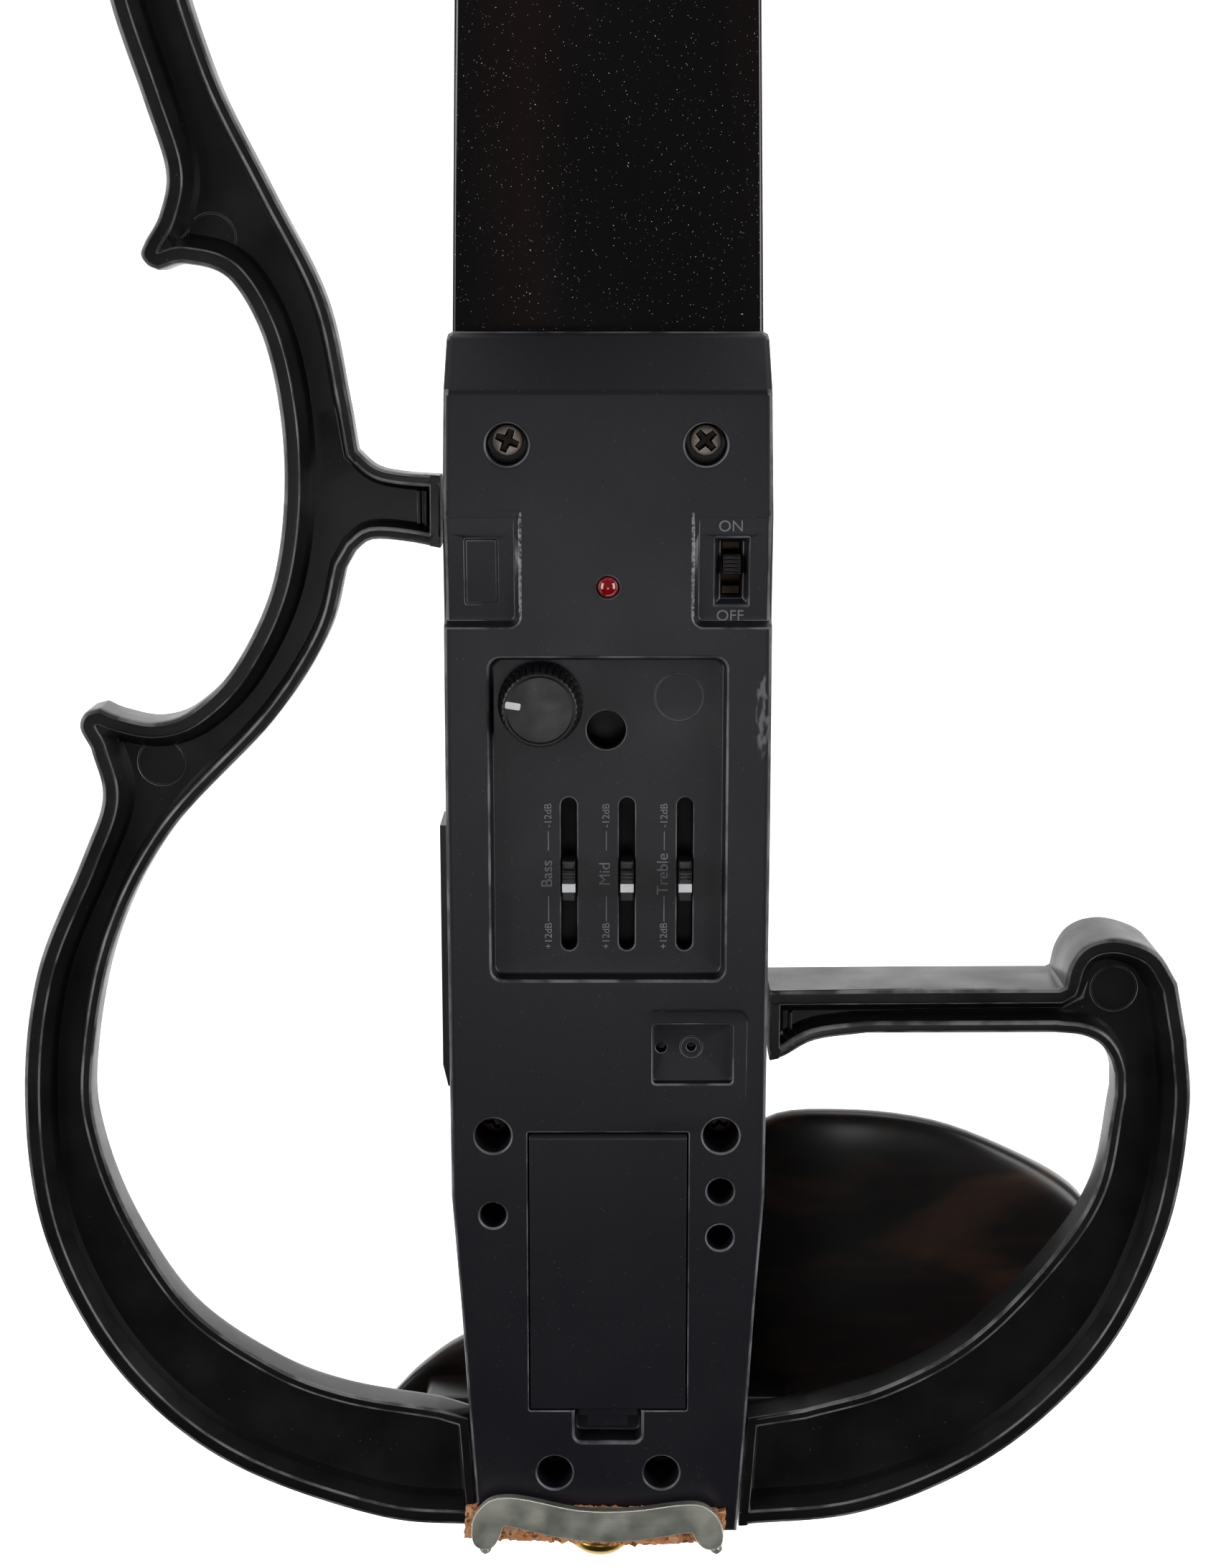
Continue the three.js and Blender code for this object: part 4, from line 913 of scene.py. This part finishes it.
def control_housing():
    outline = housing_outline()
    edge = Feature(outline, [(-1.1, 0), (-0.9, 0), (-0.5, 0.1), (-0.26, 0.26), (-0.1, 0.5), (0, 0.9)])
    features = housing_features()
    holes = housing_holes()
    gap = DOOR["gap"]
    bay = rounded(DOOR["left"] - gap, DOOR["right"] + gap, DOOR["bottom"] - gap, DOOR["top"] + gap, 0.3, 2)
    rims = [Feature(hole, [(0.22, 0), (0.07, 0.07), (0, 0.22)]) for hole in [*holes, bay]]
    slope = HOUSING["wedge"] / (HOUSING["top"] - HOUSING["crease"] + 1.1)

    def depth(points):
        level = edge.depth(points)
        for feature in features + rims:
            level = level + feature.depth(points)
        over = points[:, 1] - HOUSING["crease"] + 1.1
        rise = slope * np.where(over > 1, over - 0.5, np.where(over > 0, over**2 / 2, 0))
        return level + rise

    loops = [loop for feature in [edge, *features, *rims] for loop in feature.rings()]
    for z in np.linspace(POCKET["top"], POCKET["bottom"], 12):
        loops += [([(-27.5, z), (-15.2, z)], False), ([(14.7, z), (27.5, z)], False)]
    for step in (0, 0.25, 0.5, 0.75, 1):
        z = HOUSING["crease"] - 1.1 + step
        loops.append(([(-40, z), (40, z)], False))
    back = relief(outline, depth, loops, [*holes, bay])
    shell = Shell()
    shell.back(back, 0)

    def reach(points):
        through = np.zeros(len(points), bool)
        for hole in holes:
            through |= distance_to(points, hole) < 0.02
        return np.where(through, HOUSING["skin"], HOUSING["depth"])

    shell.walls(back, 0, reach)
    shell.front(relief(outline, holes=[bay]), HOUSING["depth"])

    # the side pockets' lips get a painted highlight with speckled wear
    def on_lip(place):
        inside = 15.2 if place.x < 0 else 14.7
        beside = -0.35 < abs(place.x) - inside + 0.2 < 0.25
        return beside and POCKET["bottom"] + 1 < place.z < POCKET["top"] - 0.6 and place.y < 2
    make_piece("control_housing_shell", shell, "housing_plastic", 50, ["control_housing"], mark=on_lip)


def raised_text(name, words, x, z, size, level, turned=False, tilt=0.0, height=0.12):
    """Raised lettering on the housing, read from behind; turned runs up the housing."""
    curve = bpy.data.curves.new(name, "FONT")
    curve.body = words
    curve.size = size / 1000
    curve.extrude = height / 1000
    curve.align_x = "CENTER"
    curve.align_y = "CENTER"
    text = bpy.data.objects.new(name, curve)
    bpy.context.scene.collection.objects.link(text)
    text.rotation_euler = Euler((math.pi / 2 + tilt, -math.pi / 2 if turned else 0, 0), "XYZ")
    text.location = metres(x, level, z)
    bpy.context.view_layer.update()
    mesh = bpy.data.meshes.new_from_object(text.evaluated_get(bpy.context.evaluated_depsgraph_get()))
    mesh.transform(text.matrix_world)
    bpy.data.objects.remove(text)
    mesh.materials.clear()
    place_piece(name, mesh, HIGHLIT_LETTERING)


def lettering():
    for name, z in (("on", 184.3), ("off", 168.9)):
        above, below = POCKET["depth"] * pocket_scale(np.array([(21, z + 1), (21, z - 1)]))
        lean = math.atan(below - above) / 2
        raised_text(f"letters_{name}", name.upper(), 20.8, z, 2.7, (above + below) / 2, tilt=lean)
    names = {"low": "Bass", "mid": "Mid", "high": "Treble"}
    floor = RECESS["depth"]
    for band, x in SLIDERS.items():
        side = x - 3.6
        raised_text(f"letters_{band}", names[band], side - 0.2, 123.4, 2.8, floor, True)
        raised_text(f"letters_{band}_less", "-12dB", side, 133.8, 1.8, floor, True)
        raised_text(f"letters_{band}_more", "+12dB", side, 112.2, 1.8, floor, True)
        lines = Shell()
        for low, high in ((114.8, 119.4), (127.6, 131)):
            bar = rounded(side - 0.08, side + 0.08, low, high, 0.07, 2)
            lines.slab(bar, floor - 0.12, floor + 0.05)
        # the scale lines share the lettering's painted highlight
        make_piece(f"scale_lines_{band}", lines, "housing_plastic", look=HIGHLIT_LETTERING)


# ---- controls --------------------------------------------------------------------------------


def lathe_y(shell, profile, x, z, count=40, ripple=None):
    """Turns a profile of (radius, y) round a line along Y; it starts and ends on that line."""
    points = []
    for level, (radius, y) in enumerate(profile):
        for step in range(count):
            reach = radius + (ripple(level, step) if ripple else 0)
            angle = 2 * math.pi * step / count
            points.append((x + reach * math.cos(angle), y, z + reach * math.sin(angle)))
    shell.rings(points, count)


def volume_knob():
    """Profile and ribs of the knob, its top towards the back, and its white pointer."""
    floor = RECESS["depth"] - 0.3
    top = floor - KNOB["height"]
    shell = Shell()
    profile = [(0, top), (5.5, top), (5.75, top + 0.12), (6.05, top + 0.02), (6.3, top + 0.1)]
    profile += [(6.5, top + 0.4), (6.6, top + 0.9), (7.1, floor - 1.5), (7.3, floor - 1.2), (7.3, floor)]
    profile += [(3, floor), (3, 9), (0, 9)]

    def ribs(level, step):
        return -0.25 if step % 4 == 0 and level in (5, 6, 7) else 0

    lathe_y(shell, profile, KNOB["x"], KNOB["z"], 144, ribs)
    body = "volume_knob_turning"
    make_piece("volume_knob_cap", shell, "knob_plastic", 40, ["volume_knob"], body)
    mark = Shell()
    outline = turned_outline(rounded(-5.9, -3.3, -0.6, 0.6, 0.3), -9, KNOB["x"], KNOB["z"])
    rim = Feature(outline, [(-0.12, 0), (0, 0.08)])
    mark.slab(outline, top - 0.12, top + 0.05, rim.depth, rim.rings())
    make_piece("volume_knob_pointer", mark, "knob_plastic", body=body, look=WHITE_MARK)


def turned_outline(outline, degrees, x, z):
    """The outline turned about the origin, then moved to x and z."""
    cos, sin = math.cos(math.radians(degrees)), math.sin(math.radians(degrees))
    return [(a * cos - b * sin + x, a * sin + b * cos + z) for a, b in outline]


def block_piece(shell, low, high, bevel=0.15):
    """A box with chamfered edges between two corners."""
    work = bmesh.new()
    bmesh.ops.create_cube(work, size=1)
    middle = (Vector(low) + Vector(high)) / 2
    size = Vector(high) - Vector(low)
    for vertex in work.verts:
        vertex.co = middle + Vector(a * b for a, b in zip(vertex.co, size))
    bmesh.ops.bevel(work, geom=work.edges[:], offset=bevel, segments=2, affect="EDGES", profile=0.5)
    work.verts.ensure_lookup_table()
    work.faces.ensure_lookup_table()
    shell.add([tuple(v.co) for v in work.verts], [tuple(v.index for v in f.verts) for f in work.faces])
    work.free()


def slider_cap(band, x):
    """A ridged grip on a stem, with a white line across it."""
    body = f"slider_{band}_sliding"
    shell = Shell()
    block_piece(shell, (x - 1.12, -0.5, CAP_Z - 3.5), (x + 1.12, 5.4, CAP_Z + 2), 0.18)
    block_piece(shell, (x - 1.12, 0.5, CAP_Z + 1.5), (x + 1.12, 5.4, CAP_Z + 3.5), 0.3)
    block_piece(shell, (x - 0.9, 5, CAP_Z - 2), (x + 0.9, 8.6, CAP_Z + 2), 0.1)
    for step in range(3):
        z = CAP_Z + 0.35 + 0.6 * step
        block_piece(shell, (x - 1.05, -0.62, z), (x + 1.05, 0, z + 0.28), 0.06)
    make_piece(f"slider_grip_{band}", shell, "knob_plastic", 30, [f"slider_cap_{band}"], body)
    line = Shell()
    block_piece(line, (x - 1.14, -0.58, CAP_Z - 1.9), (x + 1.14, 0.3, CAP_Z - 0.4), 0.05)
    make_piece(f"slider_line_{band}", line, "knob_plastic", body=body, look=WHITE_MARK)


def switch_actuator():
    x, z = SWITCH["x"], SWITCH["z"]
    shell = Shell()
    block_piece(shell, (x - 1.5, 1, z - 1.7), (x + 1.5, 4.9, z + 1.7), 0.15)
    block_piece(shell, (x - 1, 4.6, z - 0.8), (x + 1, 8.2, z + 0.8), 0.1)
    for step in range(5):
        low = z - 1.6 + 0.68 * step
        block_piece(shell, (x - 1.5, 0.4, low), (x + 1.5, 1.4, low + 0.4), 0.1)
    actuator = ["power_switch_actuator"]
    make_piece("power_switch_grip", shell, "knob_plastic", 30, actuator, "power_switch_sliding")
    plates = Shell()
    for low, high in ((172.2, 173.8), (179.9, 181.4)):
        block_piece(plates, (x - 1.6, 5.1, low), (x + 1.6, 5.9, high), 0.2)
    make_piece("power_switch_plates", plates, "dark_steel", look=DULL_BRONZE)


def led_lens():
    shell = Shell()
    r = LED["radius"]
    dome = [(r * math.sin(t), -1.1 + 1.4 * (1 - math.cos(t))) for t in np.linspace(0, math.pi / 2, 9)]
    lathe_y(shell, [*dome, (r, 10.7), (0, 10.7)], LED["x"], LED["z"], 36)
    make_piece("led_lens", shell, "red_lens", 50, ["led"])


def screw_head(shell, x, z, radius, top, turn):
    """A round head with a plus-shaped recess, turned by an angle in degrees."""
    outline = circle(x, z, radius, 36)
    edge = Feature(outline, [(-0.5, 0), (-0.15, 0.15), (0, 0.5)])
    reach, half = 0.74 * radius, 0.2 * radius
    corner = [(reach, -half), (reach, half), (half + 0.12, half + 0.12)]
    arms = [point for quarter in range(4) for point in turned_outline(corner, turn + 90 * quarter, x, z)]
    recess = Feature(arms, [(0.05, 0), (0, 0.1), (-0.1, 1.5), (-0.25, 1.7)])

    def depth(points):
        return edge.depth(points) + recess.depth(points)

    shell.slab(outline, top, top + 1.9, depth, [*edge.rings(), *recess.rings()])


def housing_screws():
    for (name, (x, z)), turn in zip(SCREWS.items(), (68, 42)):
        shell = Shell()
        screw_head(shell, x, z, 2.7, 2.2, turn)
        lathe_y(shell, [(2.7, 3.7), (1.35, 3.7), (1.35, 22), (0, 23.4)], x, z, 20)

        # the cross recess is marked for painted shade
        def in_cross(place):
            return math.hypot(place.x - x, place.z - z) < 2.1 and 2.4 < place.y < 4

        make_piece(f"{name}_phillips", shell, "dark_steel", 40, [name], mark=in_cross)


def well_screws():
    """Dark screw heads deep in the housing's wells."""
    shell = Shell()
    turn = 15
    for places, radius in ((LARGE_WELLS, 2.5), (SMALL_WELLS, 1.9)):
        for x, z in places:
            screw_head(shell, x, z, radius, WELL["screw"], turn)
            turn += 37
    make_piece("well_screws", shell, "dark_steel", 40, look=DULL_BRONZE)


# ---- chin rest, its clamp, and the end button ------------------------------------------------

CLAMP = {"x": -1.3, "z": -2.4, "half": 21.1, "rod": 1.1}
BUTTON = {"x": -1.5, "y": 22}
# Chin rest stations: x, lower and upper edge in Z, underside and top in Y.
CHIN_STATIONS = [
    (-43, 0, 4, 51, 54),
    (-38, -3, 8.5, 51.5, 57),
    (-30, -5, 13.5, 53, 60),
    (-18, -6, 18, 53, 61),
    (0, -6.5, 21, 54, 61.5),
    (14, -6, 27, 53.6, 61),
    (23, -5, 48, 53, 59.5),
    (31, -3, 61.5, 49, 56.5),
    (46, 1, 64.5, 45.5, 53.5),
    (64, 5, 62.5, 45, 53),
    (80, 12, 56, 45, 54),
    (92, 21, 48.5, 45.5, 56),
    (98.5, 30, 40, 47, 55),
]


def chin_rest():
    """A carved plate: hollowed towards the chin, crowned underneath, on two feet."""
    points = []
    sides = 40
    for x, low, high, under, top in catmull(CHIN_STATIONS, 5):
        for side in range(sides):
            angle = 2 * math.pi * side / sides
            across, up = math.cos(angle), math.sin(angle)
            y = (under + top) / 2 + (top - under) / 2 * math.copysign(abs(across) ** 0.6, across)
            z = (low + high) / 2 + (high - low) / 2 * math.copysign(abs(up) ** 0.7, up)
            plate = min(1, max(0, (x - 16) / 16)) * (1 - up**2) ** 2
            y -= (3.2 if across > 0 else -1.2) * plate
            points.append((x, y, z))
    shell = Shell()
    shell.rings(points, sides, flipped=True)
    shell.faces.append(tuple(range(sides)))
    shell.faces.append(tuple(reversed(range(len(points) - sides, len(points)))))
    for left, right in ((-36.5, -14.5), (14.5, 36.5)):
        block_piece(shell, (left, 41.9, 1.5), (right, 54.5, 7), 1.2)
    make_piece("chin_rest_plate", shell, "ebony", 60, ["chin_rest"])


FOOT_LINE = [
    (-24.8, 2.7), (-24.8, 0.8), (-24.3, -0.7), (-23.1, -1.5), (-21.6, -1.5), (-20.6, -0.7), (-20, 0.3),
    (-19.5, 1.4), (-18.9, 3), (-17.6, 2.9), (-14.3, 2.1), (-10.2, 1.1), (-5.1, 0.2), (0, -0.1), (5.1, 0.2),
    (10.2, 1), (13.8, 1.6), (15.3, 1.7), (15.6, 1.1), (16.2, 0), (17, -1), (18.2, -1.6), (19.7, -1.5),
    (20.7, -0.6), (21, 0.8), (20.9, 2.2), (20.2, 4.4), (18.6, 6.3), (16.3, 7.4), (12.2, 7.3), (4.1, 6.2),
    (-5.1, 6.3), (-14.2, 8.3), (-18.3, 8.8), (-21.4, 8.2), (-23.6, 6.2), (-24.7, 4),
]


def clamp_foot():
    """A stamped steel hook over the housing's lower edge, on the two clamp rods."""
    shell = Shell()
    outline = anticlockwise(catmull([*FOOT_LINE, FOOT_LINE[0]], 4)[:-1])
    rim = Feature(outline, [(-0.3, 0), (-0.09, 0.09), (0, 0.3)])
    back, front = -3.4, -2.0
    shell.slab(outline, back, front, rim.depth, rim.rings())
    shell.front(relief(outline), front)
    r = CLAMP["rod"]
    rod = [(0, -2.3), (0.5, -2.3), (0.5, -1.2), (r, -1), (r, 23.7), (0, 24)]
    for side in (-1, 1):
        lathe_y(shell, rod, CLAMP["x"] + side * CLAMP["half"], CLAMP["z"], 20)
    make_piece("clamp_hook", shell, "steel", 40, ["clamp_foot"])


def cork_pad(name, outline, low, high, look, replaces, seed):
    """A pad of cork with torn edges: its outline and faces wander a little."""
    rng = np.random.default_rng(seed)
    line = []
    for a, b in zip(outline, outline[1:] + outline[:1]):
        count = max(2, int(math.dist(a, b) / 0.45))
        for step in range(count):
            t = step / count
            line.append((a[0] + t * (b[0] - a[0]), a[1] + t * (b[1] - a[1])))
    line = anticlockwise([(x + rng.normal(0, 0.13), z + rng.normal(0, 0.16)) for x, z in line])
    grid = []
    xs, zs = [p[0] for p in line], [p[1] for p in line]
    for x in np.arange(min(xs) + 0.3, max(xs), 0.7):
        for z in np.arange(min(zs) + 0.3, max(zs), 0.7):
            grid.append((x + rng.uniform(-0.2, 0.2), z + rng.uniform(-0.2, 0.2)))
    inner = np.array(grid)
    inner = inner[is_inside(inner, line) & (distance_to(inner, line) > 0.35)]
    loops = [([tuple(point)], False) for point in inner]

    def depth(points):
        return 0.1 + 0.12 * np.abs(np.sin(points[:, 0] * 7.3) * np.cos(points[:, 1] * 9.1 + points[:, 0]))

    shell = Shell()
    shell.slab(line, low, high, depth, loops)
    shell.front(relief(line), high)
    make_piece(name, shell, "cork", None, replaces, look=look)


def corks():
    wedge = [(-26.2, -0.1), (-12.3, -0.8), (4.1, -1.6), (21.1, -0.8), (21.5, 5.2), (0, 5.6), (-25.8, 5.9)]
    cork_pad("clamp_cork_pad", wedge, -1.75, -0.3, LOOKS["cork"], ["clamp_cork"], 4)
    strip = [(-36.5, 1.5), (-11, 1.5), (-11, 9), (11, 9), (11, 1.5), (36.5, 1.5), (36.5, 5.5), (14, 6),
             (13, 11.5), (-13, 11.5), (-14, 6), (-36.5, 5.5)]
    # the chin rest's cork pad takes the darker copy of the cork, its colour painted shade
    cork_pad("chin_rest_cork_pad", strip, 36.2, 41.6, SHADED_CORK, ["chin_rest_cork"], 9)


def end_button():
    """Turned brass button with a stepped flange, its axis along Z."""
    profile = [(0, 18), (3.6, 18), (3.6, 0.2), (3.2, -0.2), (3, -0.8), (3, -5.2), (3.3, -7), (3.9, -8.7)]
    profile += [(5.3, -10.7), (5.7, -11.1), (5.8, -11.5), (5.8, -12.2), (5.6, -12.6), (4.8, -13)]
    profile += [(4.3, -13.8), (2.4, -14.5), (0, -14.6)]
    count = 48
    points = [(x, y, z) for radius, z in profile for x, y in circle(BUTTON["x"], BUTTON["y"], radius, count)]
    shell = Shell()
    shell.rings(points, count, flipped=True)
    make_piece("end_button_turned", shell, "brass", 35, ["end_button"])


# ---- carried-over nodes ----------------------------------------------------------------------

EDGE_WIDTHS = {
    "body_core": 0.7, "neck": 0.6, "fingerboard": 0.4, "nut": 0.4, "bridge": 0.2, "tailpiece": 0.5,
    "battery_door": 0.2, "jack_panel": 0.5, "battery": 0.8, "tail_saddle": 0.5, "chin_bracket": 0.3,
    "clamp_barrel_treble": 0.15, "clamp_barrel_bass": 0.15, "circuit_board": 0.1, "battery_contacts": 0.3,
}
ROUNDED_FREELY = ("body_core",)
NODE_LOOKS = {"power_switch": DULL_BRONZE}


def soften(node, width, angle=35):
    """Rounds a carried-over node's sharp edges with modifiers, leaving its mesh alone."""
    node.data.shade_smooth()
    weld = node.modifiers.new("weld", "WELD")
    weld.merge_threshold = WELD
    if width:
        bevel = node.modifiers.new("bevel", "BEVEL")
        bevel.width = width / 1000
        bevel.segments = 2
        bevel.limit_method = "ANGLE"
        bevel.angle_limit = math.radians(angle)
        bevel.use_clamp_overlap = node.name not in ROUNDED_FREELY
    node.modifiers.new("weighted_normals", "WEIGHTED_NORMAL")


def dress_nodes():
    for name, node in nodes.items():
        node.data.materials.clear()
        node.data.materials.append(NODE_LOOKS.get(name, LOOKS[slots[name]]))
        soften(node, EDGE_WIDTHS.get(name, 0.1 if "string" not in name else 0))


# ---- assembly --------------------------------------------------------------------------------

make_camera()
make_world()
make_floor()
for side in (-1, 1):
    area_light(f"side_{side}", (0.85 * side, -0.55, -0.15), (0, 0, -0.34), (0.5, 0.9), 7)
area_light("sheen", (0, -0.6, -0.42), (0, 0, -0.34), (0.15, 0.15), 0.22)
area_light("top", (0, 0.2, 0.6), (0, 0, -0.3), (1.1, 0.5), 3)
treble_frame()
bass_frame()
control_housing()
lettering()
volume_knob()
for band, x in SLIDERS.items():
    slider_cap(band, x)
switch_actuator()
led_lens()
housing_screws()
well_screws()
chin_rest()
clamp_foot()
corks()
end_button()
dress_nodes()
